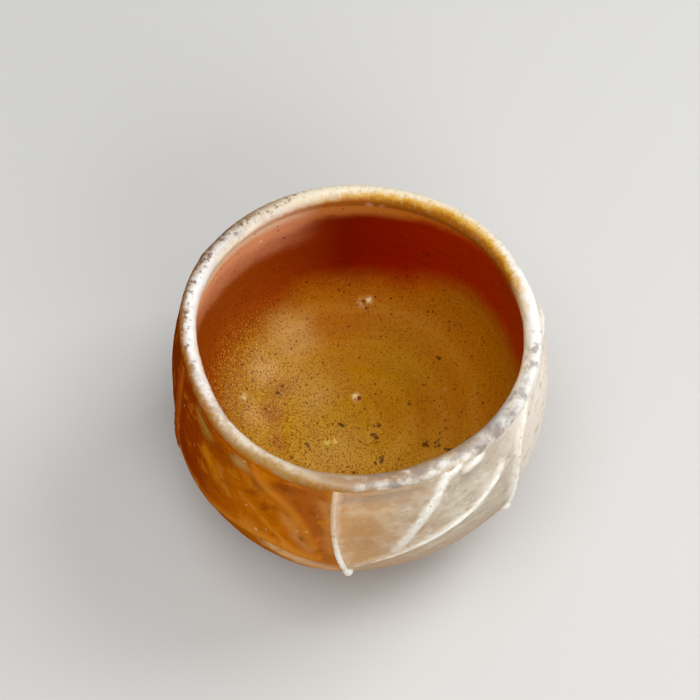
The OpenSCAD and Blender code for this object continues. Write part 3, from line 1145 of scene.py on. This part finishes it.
# Edges of the slip: milky on the right and bright amber on the left
line_gap = clay.over(clay.stored("line_gap"), MM)
ragged_gap = clay.plus(line_gap, clay.times(clay.minus(fleck, 0.5), 3.0))
milky = clay.times((ragged_gap, 2.2, 0.6), (clay.z, 30, 44, 0.5, 1.0))
clay.lay((0.80, 0.75, 0.66), milky, right_side, (clay.turn, 0.0, 0.06, 0.25, 0.85))
clay.lay((0.58, 0.21, 0.02), (line_gap, 2.4, 0.3), left_side, 0.5)

clay.lay((0.20, 0.11, 0.06), clay.specks(700.0, 0.22, 0.16), 0.4)
clay.lay((0.24, 0.13, 0.08), clay.specks(1500.0, 0.30, 0.30), 0.4)
clay.lay((0.72, 0.48, 0.24), clay.specks(420.0, 0.18, 0.06), left_side, 0.7)
clay.end(
    roughness=clay.plus(clay.times(left_side, -0.16), clay.fade(grain, 0.3, 0.7, 0.46, 0.62)),
    specular=clay.fade(left_side, 0.0, 1.0, 0.10, 0.0),
    height=clay.plus(clay.times(grain, 0.6), cloud),
    depth=0.22 * MM,
    strength=0.6,
)

# %% [markdown]
# ### Amber glaze
# The bowl's glaze is golden where it pools on the floor, red-brown on the walls, where it is
# thinner, and orange under the lip. Iron specks it all over.

# %% Tones of the bowl
# Round the bowl: angle, the share of the cup's height where the band under the lip begins, the
# wall's tone and the band's. The columns after the angle have names
BAND_FROM, WALL_TONE, BAND_TONE = range(1, 4)
# The wall's tone round the bowl is partly painted light and shade: raised on the right, where the lamp
# leaves the wall in shade, and darkest at the back, where the wall is shaded
BOWL_SIDES = [
    (0, 0.89, (0.53, 0.040, 0.0), (0.80, 0.240, 0.0)),
    (40, 0.92, (0.49, 0.020, 0.0), (0.58, 0.075, 0.0)),
    (75, 0.85, (0.29, 0.005, 0.0), (0.58, 0.190, 0.020)),
    (95, 0.84, (0.20, 0.003, 0.0), (0.60, 0.200, 0.035)),
    (120, 0.83, (0.30, 0.040, 0.001), (0.62, 0.210, 0.060)),
    (145, 0.82, (0.34, 0.065, 0.003), (0.80, 0.300, 0.120)),
    (180, 0.86, (0.30, 0.047, 0.0), (0.62, 0.250, 0.130)),
    (225, 0.88, (0.34, 0.060, 0.0), (0.50, 0.180, 0.040)),
    (300, 0.88, (0.44, 0.070, 0.0), (0.60, 0.200, 0.010)),
]
# The veil at the back left, from its lower tone up: heights where each begins and is full. It is
# partly thin glaze and partly painted sheen: its pale upper tones stand for a reflection on the upper
# left inner wall
VEIL_AND_SHEEN = [
    (40, 47, (0.62, 0.230, 0.105)),
    (46.5, 52, (0.92, 0.400, 0.200)),
    (53, 57, (0.98, 0.720, 0.460)),
]
# Stains on the floor, seen from above: place, radius, tone and strength. The pale ones on the left are
# partly painted sheen, the lamp's soft reflection on the floor there
STAINS_AND_SHEEN = [
    (8.0, 16.0, 0, 18.0, (0.46, 0.245, 0.0), 0.5),
    (-17.0, 22.5, 0, 10.5, (0.62, 0.370, 0.110), 0.75),
    (-23.8, 13.5, 0, 6.75, (0.66, 0.400, 0.130), 0.8),
    (-26.0, 1.0, 0, 6.0, (0.64, 0.370, 0.110), 0.7),
    (-11.5, 9.0, 0, 12.0, (0.56, 0.330, 0.085), 0.5),
    (-6.0, -7.5, 0, 12.0, (0.56, 0.330, 0.080), 0.5),
    (-5.0, 13.5, 0, 6.0, (0.36, 0.130, 0.001), 0.35),
    (-20.3, 9.5, 0, 5.4, (0.30, 0.085, 0.001), 0.6),
    (-21.8, 2.5, 0, 4.8, (0.33, 0.090, 0.001), 0.75),
    (-19.5, -5.5, 0, 5.1, (0.36, 0.105, 0.001), 0.6),
]
# Scars of broken bubbles, bright crumbs and red spots, and painted highlights: place, radius, tone and
# strength. The crumb on the right of the first pit is partly painted highlight, the two near-white
# spots on the upper left wall are painted glints, and the last two rows are a painted highlight under
# the lip at the back
SCARS_AND_GLINTS = [
    (0.1, 31.7, 22.4, 0.9, (0.62, 0.36, 0.20), 0.8),
    (2.5, 32.5, 23.0, 1.1, (0.90, 0.70, 0.36), 0.9),
    (1.3, 31.6, 22.4, 0.9, (0.36, 0.12, 0.004), 0.9),
    (1.8, 30.9, 21.9, 0.6, (0.14, 0.025, 0.0), 0.9),
    (-0.9, 8.3, 16.6, 1.5, (0.88, 0.66, 0.30), 0.9),
    (-0.2, 7.8, 16.6, 1.0, (0.16, 0.02, 0.0), 0.95),
    (-28.2, 5.9, 20.8, 1.3, (0.80, 0.56, 0.22), 0.8),
    (-28.1, 6.2, 20.8, 0.6, (0.20, 0.03, 0.0), 0.9),
    (-7.9, -5.0, 16.6, 1.1, (0.80, 0.66, 0.15), 0.6),
    (-5.9, -4.6, 16.6, 1.0, (0.80, 0.66, 0.15), 0.6),
    (-7.9, -6.2, 16.7, 1.1, (0.30, 0.19, 0.01), 0.5),
    # Painted glints: two near-white highlights on the upper left wall
    (-23.7, 31.1, 50.9, 0.9, (1.0, 0.85, 0.75), 0.9),
    (-33.3, 21.4, 46.3, 0.9, (1.0, 0.80, 0.70), 0.8),
    (16.8, 36.4, 38.9, 1.4, (0.12, 0.004, 0.0), 0.7),
    # A painted highlight: a pale gloss patch under the lip at the back
    (2.4, 37.8, 57.0, 1.6, (0.85, 0.52, 0.30), 0.6),
    (5.4, 37.4, 57.0, 1.3, (0.75, 0.42, 0.22), 0.5),
]
print(len(STAINS_AND_SHEEN), "stains and", len(SCARS_AND_GLINTS), "scars")

# %% Amber glaze
amber = Paint("amber_glaze")
stray = amber.sway(120.0, 3.0, 5)
height = amber.plus(amber.z, stray)
cloud = amber.noise(130.0, 4.0, 0.6)
on_plan = amber.flat(amber.place_mm)

# The pool, golden on the left, paler in front and redder at the back, with its stains. The gold on the
# left and the paler front are partly painted sheen, the lamp's soft reflection on the floor
to_left = amber.plus(amber.x, amber.y)
amber.colour = amber.mix((0.47, 0.165, 0.0), (0.47, 0.240, 0.0), amber.fade(to_left, 26, -10))
amber.lay((0.56, 0.280, 0.028), (amber.y, 8, -22), 0.7)
amber.lay((0.40, 0.115, 0.0), (amber.y, 16, 32), 0.7)
for pool_spot in STAINS_AND_SHEEN:
    amber.spot(on_plan, pool_spot, 0.0, amber.times(stray, 1.6))

# The wheel's spiral, a dark and a pale line, partly painted shade and light on its low ridges
turns = amber.minus(amber.over(amber.vector("LENGTH", on_plan), SPIRAL_PITCH / MM), amber.bearing)
ring = amber.math("SINE", amber.times(amber.plus(turns, amber.times(cloud, 0.7)), TURN))
amber.lay((0.32, 0.100, 0.0), (ring, 0.3, 1.0), 0.15)
amber.lay((0.58, 0.300, 0.030), (ring, -0.3, -1.0), 0.15)

# The walls, from a shore that lies lower on the left and higher on the right, the band, and the veil
# with its painted sheen
shore = amber.plus(
    height,
    amber.fade(amber.x, -12, -28, 0.0, 4),
    amber.fade(amber.x, 10, 28, 0.0, -7),
)
amber.lay(amber.round_ramp(BOWL_SIDES, WALL_TONE), (shore, 22.5, 32))
band_z = amber.times(amber.round_ramp(BOWL_SIDES, BAND_FROM), CAD_HIGH[2] / MM)
in_band = amber.fade(amber.minus(height, band_z), -2.5, 2.5)
amber.lay(amber.round_ramp(BOWL_SIDES, BAND_TONE), in_band)
# The veil's pale upper tones are painted sheen
veil_and_sheen = amber.times((amber.bearing, 0.28, 0.35), (amber.bearing, 0.55, 0.46))
for low, full, tone in VEIL_AND_SHEEN:
    amber.lay(tone, (height, low, full), veil_and_sheen)
print("amber glaze has its pool, its walls and the band under the lip")

# %% [markdown]
# The glaze is sandy on the left of the floor: dark grains, pale grains between them and black
# specks of three sizes. The pale grains are partly painted sparkle of the lamp's sheen. Then come the
# blooms, the pits, the scars and the painted glints.

# %% Amber glaze, its grain
# Black specks: cells per metre, size in a cell, share of the cells and strength
BLACK_SPECKS = [
    (1700.0, 0.34, 0.40, 0.55),
    (900.0, 0.28, 0.28, 0.75),
    (420.0, 0.17, 0.20, 0.85),
]
SCAR_AND_GLINT_TEAR = 1.8
grain = amber.noise(2100.0, 3.0, 0.65)
on_floor = amber.fade(height, 40, 30)
sandy = amber.times((to_left, 20, -16, 0.3, 1.0), on_floor)
low_down = amber.fade(height, 32, 25)
amber.lay((0.20, 0.050, 0.001), (grain, 0.52, 0.63), sandy, 0.75)
# Pale grains between the dark ones: partly painted sparkle of the sheen
amber.lay((0.62, 0.34, 0.05), (grain, 0.46, 0.34), sandy, low_down, 0.8)
for scale, size, share, strength in BLACK_SPECKS:
    amber.lay((0.11, 0.020, 0.0005), amber.specks(scale, size, share), sandy, strength)
below_band = amber.fade(height, 52, 44)
amber.lay((0.12, 0.012, 0.0), amber.specks(1500.0, 0.36, 0.55), below_band, 0.6)
amber.lay((0.10, 0.010, 0.0), amber.specks(760.0, 0.26, 0.16), 0.8)

amber.lay((0.075, 0.022, 0.002), (amber.stored("bloom_gap"), 1.6, 0.4), 0.9)
pit_gap = amber.stored("pit_gap")
amber.lay((0.70, 0.43, 0.14), (pit_gap, 1.9, 1.2), (grain, 0.4, 0.6, 0.1, 0.4))
amber.lay((0.12, 0.025, 0.001), (pit_gap, 0.8, 0.4))
torn = amber.vector("ADD", amber.place_mm, amber.stray(1100.0, 2.0, SCAR_AND_GLINT_TEAR))
for glaze_spot in SCARS_AND_GLINTS:
    amber.spot(torn, glaze_spot, 0.3)
amber.end(
    roughness=amber.fade(grain, 0.3, 0.7, 0.26, 0.40),
    specular=0.12,
    height=amber.plus(grain, amber.times(cloud, 0.5)),
    depth=0.25 * MM,
    strength=0.5,
)

# %% [markdown]
# ### White glaze and slip
# The lip's glaze is cream-white, yellow where it thins at the back and freckled brown and grey.
# At its two edges it melts into its neighbours' colours, by the `along` number of its outline.

# %% Tones of the lip
CHALK = (0.78, 0.76, 0.73)
PEWTER = (0.54, 0.50, 0.45)
ASH = (0.39, 0.36, 0.33)
CREAM = (0.64, 0.54, 0.40)
IVORY = (0.94, 0.80, 0.60)
PINK = (0.74, 0.65, 0.56)
STRAW = (0.64, 0.43, 0.19)
AMBER = (0.40, 0.13, 0.006)
RUST = (0.52, 0.15, 0.015)
SALMON = (0.86, 0.50, 0.30)
TAN = (0.43, 0.30, 0.17)
RUSSET = (0.38, 0.16, 0.02)
UMBER = (0.31, 0.18, 0.09)
SOOT = (0.16, 0.085, 0.04)
OLIVE = (0.36, 0.20, 0.05)
BUFF = (0.75, 0.66, 0.50)
LINEN = (0.70, 0.57, 0.40)
HONEY = (0.62, 0.34, 0.04)
# Round the lip: angle, the shares of the outline between which it is white, then its tones outside
# the white, on it, inside it and deeper in. The columns after the angle have names
WHITE_FROM, WHITE_TO, OUTSIDE, WHITE, INSIDE, DEEP = range(1, 7)
# The ivory inside the lip at 0 degrees and at 140 to 160 degrees is partly painted light: raised to
# stand for the light and sheen on the inner edge there
LIP_SIDES = [
    (0, 0.25, 0.57, PINK, CHALK, IVORY, IVORY),
    (22, 0.22, 0.47, PINK, CHALK, HONEY, AMBER),
    (45, 0.20, 0.46, BUFF, BUFF, HONEY, AMBER),
    (82, 0.20, 0.53, LINEN, BUFF, HONEY, AMBER),
    (102, 0.25, 0.60, BUFF, BUFF, STRAW, RUST),
    (120, 0.48, 0.61, TAN, CREAM, PINK, SALMON),
    (140, 0.43, 0.66, SOOT, PEWTER, IVORY, IVORY),
    (160, 0.43, 0.66, UMBER, CHALK, PINK, IVORY),
    (180, 0.43, 0.62, RUSSET, CHALK, PINK, SALMON),
    (203, 0.42, 0.57, RUSSET, CHALK, PINK, AMBER),
    (225, 0.45, 0.58, OLIVE, CREAM, PINK, AMBER),
    (244, 0.45, 0.56, OLIVE, CREAM, CREAM, TAN),
    (262, 0.32, 0.42, RUSSET, TAN, UMBER, TAN),
    (281, 0.22, 0.41, TAN, PEWTER, UMBER, UMBER),
    (302, 0.10, 0.36, CREAM, CREAM, ASH, TAN),
    (322, 0.10, 0.30, PINK, PEWTER, ASH, ASH),
    (343, 0.10, 0.40, PINK, CHALK, ASH, IVORY),
]
# Dark drips, and a painted highlight, a pale gloss patch on the inner side at the back: place, radius,
# tone and strength
LIP_DRIPS_AND_HIGHLIGHT = [
    (24.6, 31.2, 59.3, 1.4, (0.15, 0.07, 0.01), 0.8),
    (36.0, 14.4, 59.3, 1.1, (0.15, 0.07, 0.01), 0.8),
    # A painted highlight: a pale gloss patch under the lip at the back
    (2.4, 37.8, 57.4, 1.6, (0.85, 0.55, 0.33), 0.6),
    (5.4, 37.4, 57.4, 1.3, (0.75, 0.45, 0.25), 0.5),
]
print("the lip has", len(LIP_SIDES), "sides and", len(LIP_DRIPS_AND_HIGHLIGHT), "drips")

# %% White glaze
white = Paint("white_glaze")
froth = white.sway(620.0, 4.0, 0.26, 0.7)
wander = white.sway(150.0, 2.0, 0.16)
along = white.plus(white.stored("along"), white.plus(froth, wander))
cloud = white.noise(260.0, 5.0, 0.65)
past_from = white.minus(along, white.round_ramp(LIP_SIDES, WHITE_FROM))
past_to = white.minus(along, white.round_ramp(LIP_SIDES, WHITE_TO))
white.colour = white.round_ramp(LIP_SIDES, WHITE)
white.lay((0.46, 0.36, 0.27), (cloud, 0.52, 0.68), 0.4)
white.lay(white.round_ramp(LIP_SIDES, INSIDE), (past_to, -0.10, 0.06))
white.lay(white.round_ramp(LIP_SIDES, DEEP), (past_to, 0.03, 0.16))
white.lay(white.round_ramp(LIP_SIDES, OUTSIDE), (past_from, 0.08, -0.10))
print("white glaze has its bands")


# %% White glaze, its freckles
def corner(x_from, x_to, y_from, y_to):
    """A part of the lip, by the places where it begins and is full."""
    return white.times((white.x, x_from, x_to), (white.y, y_from, y_to))


right_front = corner(-10, 8, 18, 0)
left_front = corner(6, -8, -4, -16)
left_back = corner(4, -14, -22, 0)
back_right = corner(-8, 4, 4, 16)
at_back = white.fade(white.y, 5, 25)

# White and grey patches in front on the right, and tan ones on the left
elsewhere = white.vector("ADD", white.place, (0.3, 0.1, 0.2))
patches = white.noise(300.0, 4.0, 0.6, at=elsewhere)
seen = white.fade(white.math("ABSOLUTE", white.minus(along, 0.36)), 0.26, 0.14)
thick = white.fade(past_to, 0.16, 0.04, 0.25, 0.7)
white.lay((0.74, 0.73, 0.69), (patches, 0.53, 0.38), seen, right_front, thick)
white.lay((0.25, 0.20, 0.17), (patches, 0.51, 0.66), seen, right_front, 0.75)
white.lay((0.40, 0.25, 0.13), (patches, 0.48, 0.60), left_front, 0.5)

# Dark crumbs along the outer edge, specks all over, and the clay's colours below
outer_edge = white.fade(white.math("ABSOLUTE", past_from), 0.14, 0.03)
crumbs = white.fade(white.noise(800.0, 3.0, 0.6), 0.50, 0.60)
white.lay((0.15, 0.075, 0.04), crumbs, outer_edge, left_back, 0.85)
white.lay((0.26, 0.16, 0.10), white.specks(900.0, 0.24, 0.20), 0.5)
bare_share = white.fade(white.x, -8, -24, 0.0, 0.14)
white.lay(flash_colour(white), (white.minus(along, bare_share), 0.24, 0.05))

# Streaks that run down at the back, then the drips and the painted highlight
run_down = white.joined(white.times(white.bearing, 420.0), white.times(along, 4.0), 0.0)
streaks = white.noise(1.0, 3.0, at=run_down)
white.lay((0.50, 0.33, 0.17), (streaks, 0.52, 0.66), at_back, 0.3)
on_white = white.fade(past_to, 0.06, -0.04)
white.lay((0.78, 0.70, 0.58), (streaks, 0.46, 0.34), at_back, on_white, 0.35)
for lip_spot in LIP_DRIPS_AND_HIGHLIGHT:
    white.spot(white.place_mm, lip_spot, 0.2, white.times(froth, 4))

grain = white.noise(900.0, 3.0, 0.6)
dull_back = white.fade(back_right, 0.0, 1.0, 1.0, 0.2)
white.end(
    roughness=white.fade(grain, 0.3, 0.7, 0.30, 0.48),
    specular=white.times((along, 0.30, 0.50, 0.0, 0.25), dull_back),
    height=white.plus(white.times(grain, 0.5), cloud),
    depth=0.3 * MM,
    strength=0.6,
)

# %% [markdown]
# The slip is the same white, thin in places so that the clay shows through, and amber on the left.

# %% White slip
slip = Paint("white_slip")
cloud = slip.noise(320.0, 4.0, 0.6)
grain = slip.noise(1000.0, 3.0, 0.6)
left_side = slip.times((slip.turn, 0.60, 0.72), (slip.turn, 0.992, 0.982))
front = slip.math("MAXIMUM", slip.fade(slip.turn, 0.04, 0.03), slip.fade(slip.turn, 0.982, 0.992))
flash = flash_colour(slip)
slip.colour = slip.mix((0.87, 0.85, 0.77), (0.58, 0.47, 0.35), slip.fade(cloud, 0.48, 0.68), 0.35)
slip.lay((0.70, 0.46, 0.24), front, (slip.z, 36, 48, 0.0, 0.7))
rubbed = slip.fade(slip.noise(700.0, 3.0, 0.6), 0.54, 0.66, 0.0, 0.3)
slip.lay(flash, slip.math("ADD", slip.stored("thinness"), rubbed, clamp=True))
# Painted highlight: on the left, the blobs' tips low down keep more of the white, which stands for the
# light on them
tip = slip.fade(slip.z, 33, 29, 1.0, 0.4)
slip.lay(slip.mix(flash, (0.56, 0.20, 0.02), 0.1), left_side, tip)
slip.lay((0.32, 0.20, 0.12), slip.specks(1000.0, 0.26, 0.22), 0.5)
slip.end(
    roughness=slip.fade(grain, 0.3, 0.7, 0.40, 0.58),
    specular=slip.fade(left_side, 0.0, 1.0, 0.12, 0.0),
    height=slip.plus(grain, cloud),
    depth=0.2 * MM,
    strength=0.5,
)

# %% [markdown]
# ### Foot clay
# The foot is bare stoneware, toasted orange-brown by the fire, with sand in it.

# %% Foot clay
bare = Paint("foot_clay")
cloud = bare.noise(110.0, 4.0, 0.6)
grain = bare.noise(1100.0, 3.0, 0.65)
bare.colour = bare.mix((0.38, 0.19, 0.085), (0.50, 0.30, 0.16), bare.fade(cloud, 0.38, 0.66))
bare.lay((0.26, 0.13, 0.06), (grain, 0.5, 0.75, 0.0, 0.5))
bare.lay((0.14, 0.07, 0.04), bare.specks(700.0, 0.25, 0.30), 0.7)
bare.end(
    roughness=bare.fade(grain, 0.3, 0.7, 0.72, 0.88),
    specular=0.5,
    height=grain,
    depth=0.2 * MM,
    strength=0.7,
)

# %% [markdown]
# ## Building the pieces
# Each outline is walked at an even step, fine where it is seen and coarse where it is hidden
# under a coat. Hidden sides lie a little inside the clay, so that the solids overlap.

# %% Outline helpers
def walk(points, step):
    """The same outline with points an even step apart."""
    points = np.array(points)
    gaps = np.hypot(*np.diff(points, axis=0).T)
    along = np.concatenate([[0], np.cumsum(gaps)])
    even = np.linspace(0, along[-1], max(2, round(along[-1] / step) + 1))
    return np.column_stack([np.interp(even, along, points[:, axis]) for axis in (0, 1)])


def coat(points, thickness):
    """An outline lifted off the clay, to the left of the way it runs."""
    along = np.gradient(points, axis=0)
    along /= np.maximum(np.hypot(*along.T), 1e-12)[:, None]
    return points + np.column_stack([-along[:, 1], along[:, 0]]) * np.reshape(thickness, (-1, 1))


def shell_outline(name, stretches, reach=1.0):
    """A helper mesh of an outline in the XZ plane. Its along number goes from 0 to the reach on the
    first stretch, which is the one that shows, and back to 0 on the rest."""
    points, seen = [], 0
    for stretch in stretches:
        points += [p for p in stretch if not points or math.dist(p, points[-1]) > SAME_POINT]
        seen = seen or len(points)
    along = np.concatenate([np.linspace(0, reach, seen), np.linspace(reach, 0, len(points) - seen)])
    print(name, "has", len(points), "points")
    return wire(name, [[(r, 0, z) for r, z in points]], {"along": along})


# %% Outlines of the clay
OVERLAP = 0.3 * MM
body_outline = shell_outline("body_outline", [
    walk([(0, FOOT_H), (WALL_FOOT_R, FOOT_H)], step=1.2 * MM),
    walk(under, step=0.55 * MM),
    walk(shoulder, step=0.5 * MM),
    walk(lip_arc, step=0.6 * MM),
    walk(inner_wall + bowl, step=3.0 * MM),
])

foot_low_r, foot_in_r = FOOT_R - FOOT_TAPER, FOOT_R - FOOT_T
foot_top = (foot_in_r, FOOT_H + OVERLAP)
foot_loop = [
    foot_top,
    *arc((foot_in_r + FOOT_ROUND, FOOT_ROUND), FOOT_ROUND, TURN / 2, TURN * 3 / 4, FOOT_ARC_POINTS),
    *arc((foot_low_r - FOOT_ROUND, FOOT_ROUND), FOOT_ROUND, TURN * 3 / 4, TURN, FOOT_ARC_POINTS),
    (FOOT_R, FOOT_H),
    (FOOT_R, FOOT_H + OVERLAP),
    foot_top,
]
foot_outline = shell_outline("foot_outline", [walk(foot_loop, step=0.4 * MM), [foot_top]])

# %% Outlines of the glazes
# The liner goes up under the white glaze and thins there: millimetres down and shares of its coat
LINER_UP = 1.6 * MM
LINER_SUNK = 0.25 * MM
LINER_BACK_STEP = 8
LINER_COAT = [(0, 0.42), (2.0, 0.62), (4.0, 1.0)]
AXIS_GAP = 0.3 * MM
inside_path = walk(inner_wall + bowl, step=0.42 * MM)
inside_path = inside_path[inside_path[:, 1] < in_edge_z + LINER_UP]
drop_mm = (inside_path[0, 1] - inside_path[:, 1]) / MM
liner_front = coat(inside_path, -GLAZE_T * by_stops(drop_mm, LINER_COAT))
liner_front[-1, 0] = 0
liner_back = coat(inside_path[::LINER_BACK_STEP], LINER_SUNK)[::-1]
liner_outline = shell_outline("liner_outline", [
    liner_front,
    [(0, FLOOR_Z - LINER_SUNK)],
    [point for point in liner_back if point[0] > AXIS_GAP],
    [liner_front[0]],
])

# The white glaze has a hem past both of the model's edges, where it thins out. Its coat is given
# by the along number, which goes from 0 outside to the reach inside
HEM_OUT = 0.6 * MM
HEM_IN = 3.0 * MM
RIM_REACH = 1.2
RIM_SUNK = 0.3 * MM
RIM_BACK_STEP = 3
RIM_COAT = [(0, -1.2), (0.1, -0.2), (0.3, 0.6), (0.5, 1.1), (0.8, 0.78), (1.0, 0.62), (1.2, 0.3)]
outer_hem = [point for point in shoulder if point[1] > out_edge_z - HEM_OUT]
inner_hem = [point for point in inner_wall if point[1] > in_edge_z - HEM_IN]
rim_path = walk(outer_hem + lip_arc + inner_hem, step=0.2 * MM)
rim_share = np.linspace(0, RIM_REACH, len(rim_path))
rim_front = coat(rim_path, -GLAZE_T * by_stops(rim_share, RIM_COAT))
rim_back = coat(rim_path[::RIM_BACK_STEP], RIM_SUNK)[::-1]
lip_outline = shell_outline("lip_outline", [rim_front, rim_back, [rim_front[0]]], RIM_REACH)

# %% Grow the pieces
def turn_piece(name, outline, paint, values):
    """A piece turned from its outline."""
    piece = put(name, bpy.data.meshes.new(name))
    shell.grow(piece, {"Outline": outline, "Material": paint.material, **values})
    return piece


stoneware_wall = turn_piece("stoneware_wall", body_outline, clay, {
    "Columns": 480, "Lump Height": 0.35 * MM, "Lump Scale": 110.0,
    "Ring Depth": 0.03 * MM, "Ring Pitch": 3.5 * MM,
})
press.grow(stoneware_wall, {"Lines": line_marks, "Material": clay.material})

bowl_glaze = turn_piece("bowl_glaze", liner_outline, amber, {
    "Columns": 480, "Lump Height": 0.22 * MM, "Lump Scale": 160.0,
    "Calm From": 0.13, "Calm To": 0.07, "Ring Depth": 0.02 * MM, "Ring Pitch": 4.0 * MM,
})
marks.grow(bowl_glaze, {"Pits": pit_points, "Blooms": bloom_points, "Material": amber.material})

rim_glaze = turn_piece("rim_glaze", lip_outline, white, {
    "Columns": 900, "Lump Height": 0.45 * MM, "Lump Scale": 230.0,
    "Calm From": 0.70, "Calm To": 0.90,
})
press.grow(rim_glaze, {"Lines": line_marks, "Material": white.material})

turned_foot = turn_piece("turned_foot", foot_outline, bare, {
    "Columns": 360, "Lump Height": 0.25 * MM, "Lump Scale": 180.0,
    "Ring Depth": 0.06 * MM, "Ring Pitch": 1.6 * MM,
})

slip_lines = put("slip_lines", bpy.data.meshes.new("slip_lines"))
bead.grow(slip_lines, {"Paths": line_paths, "Material": slip.material})
pieces = [stoneware_wall, bowl_glaze, rim_glaze, turned_foot, slip_lines]
print("grown:", ", ".join(piece.name for piece in pieces))


# %% Settle the pieces
def settle(piece):
    """Turns what the trees made into the piece's own mesh and takes the trees off."""
    ready = piece.evaluated_get(bpy.context.evaluated_depsgraph_get())
    mesh = bpy.data.meshes.new_from_object(ready)
    mesh.name = piece.name
    piece.modifiers.clear()
    piece.data = mesh


def volume_mm3(mesh):
    """Signed volume of a closed mesh, above zero when its faces look outward."""
    solid = bmesh.new()
    solid.from_mesh(mesh)
    volume = solid.calc_volume(signed=True)
    solid.free()
    return volume / MM**3


for piece in pieces:
    settle(piece)
    piece.data.calc_loop_triangles()
    volume = round(volume_mm3(piece.data))
    print(piece.name, "has", len(piece.data.loop_triangles), "triangles and holds", volume, "mm3")

outlines = [body_outline, foot_outline, liner_outline, lip_outline]
for helper in (*outlines, line_marks, line_paths, pit_points, bloom_points):
    bpy.data.objects.remove(helper)

# %% [markdown]
# ## Joining the frame
# Each piece rides on the cup's one body and stands for the nodes that it was made from.

# %% Ride and replace
node_names = sorted(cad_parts)
STANDS_FOR = [
    (stoneware_wall, "flashed_clay", ["clay_body"]),
    (turned_foot, "foot_clay", ["foot_ring"]),
    (bowl_glaze, "amber_glaze", ["liner_glaze"]),
    (rim_glaze, "white_glaze", ["lip_glaze"]),
    (slip_lines, "white_slip", [name for name in node_names if "_bead_" in name]),
]
for piece, finish, nodes in STANDS_FOR:
    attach(piece, "root")
    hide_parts(*nodes)
    print(piece.name, "stands for", ", ".join(nodes))
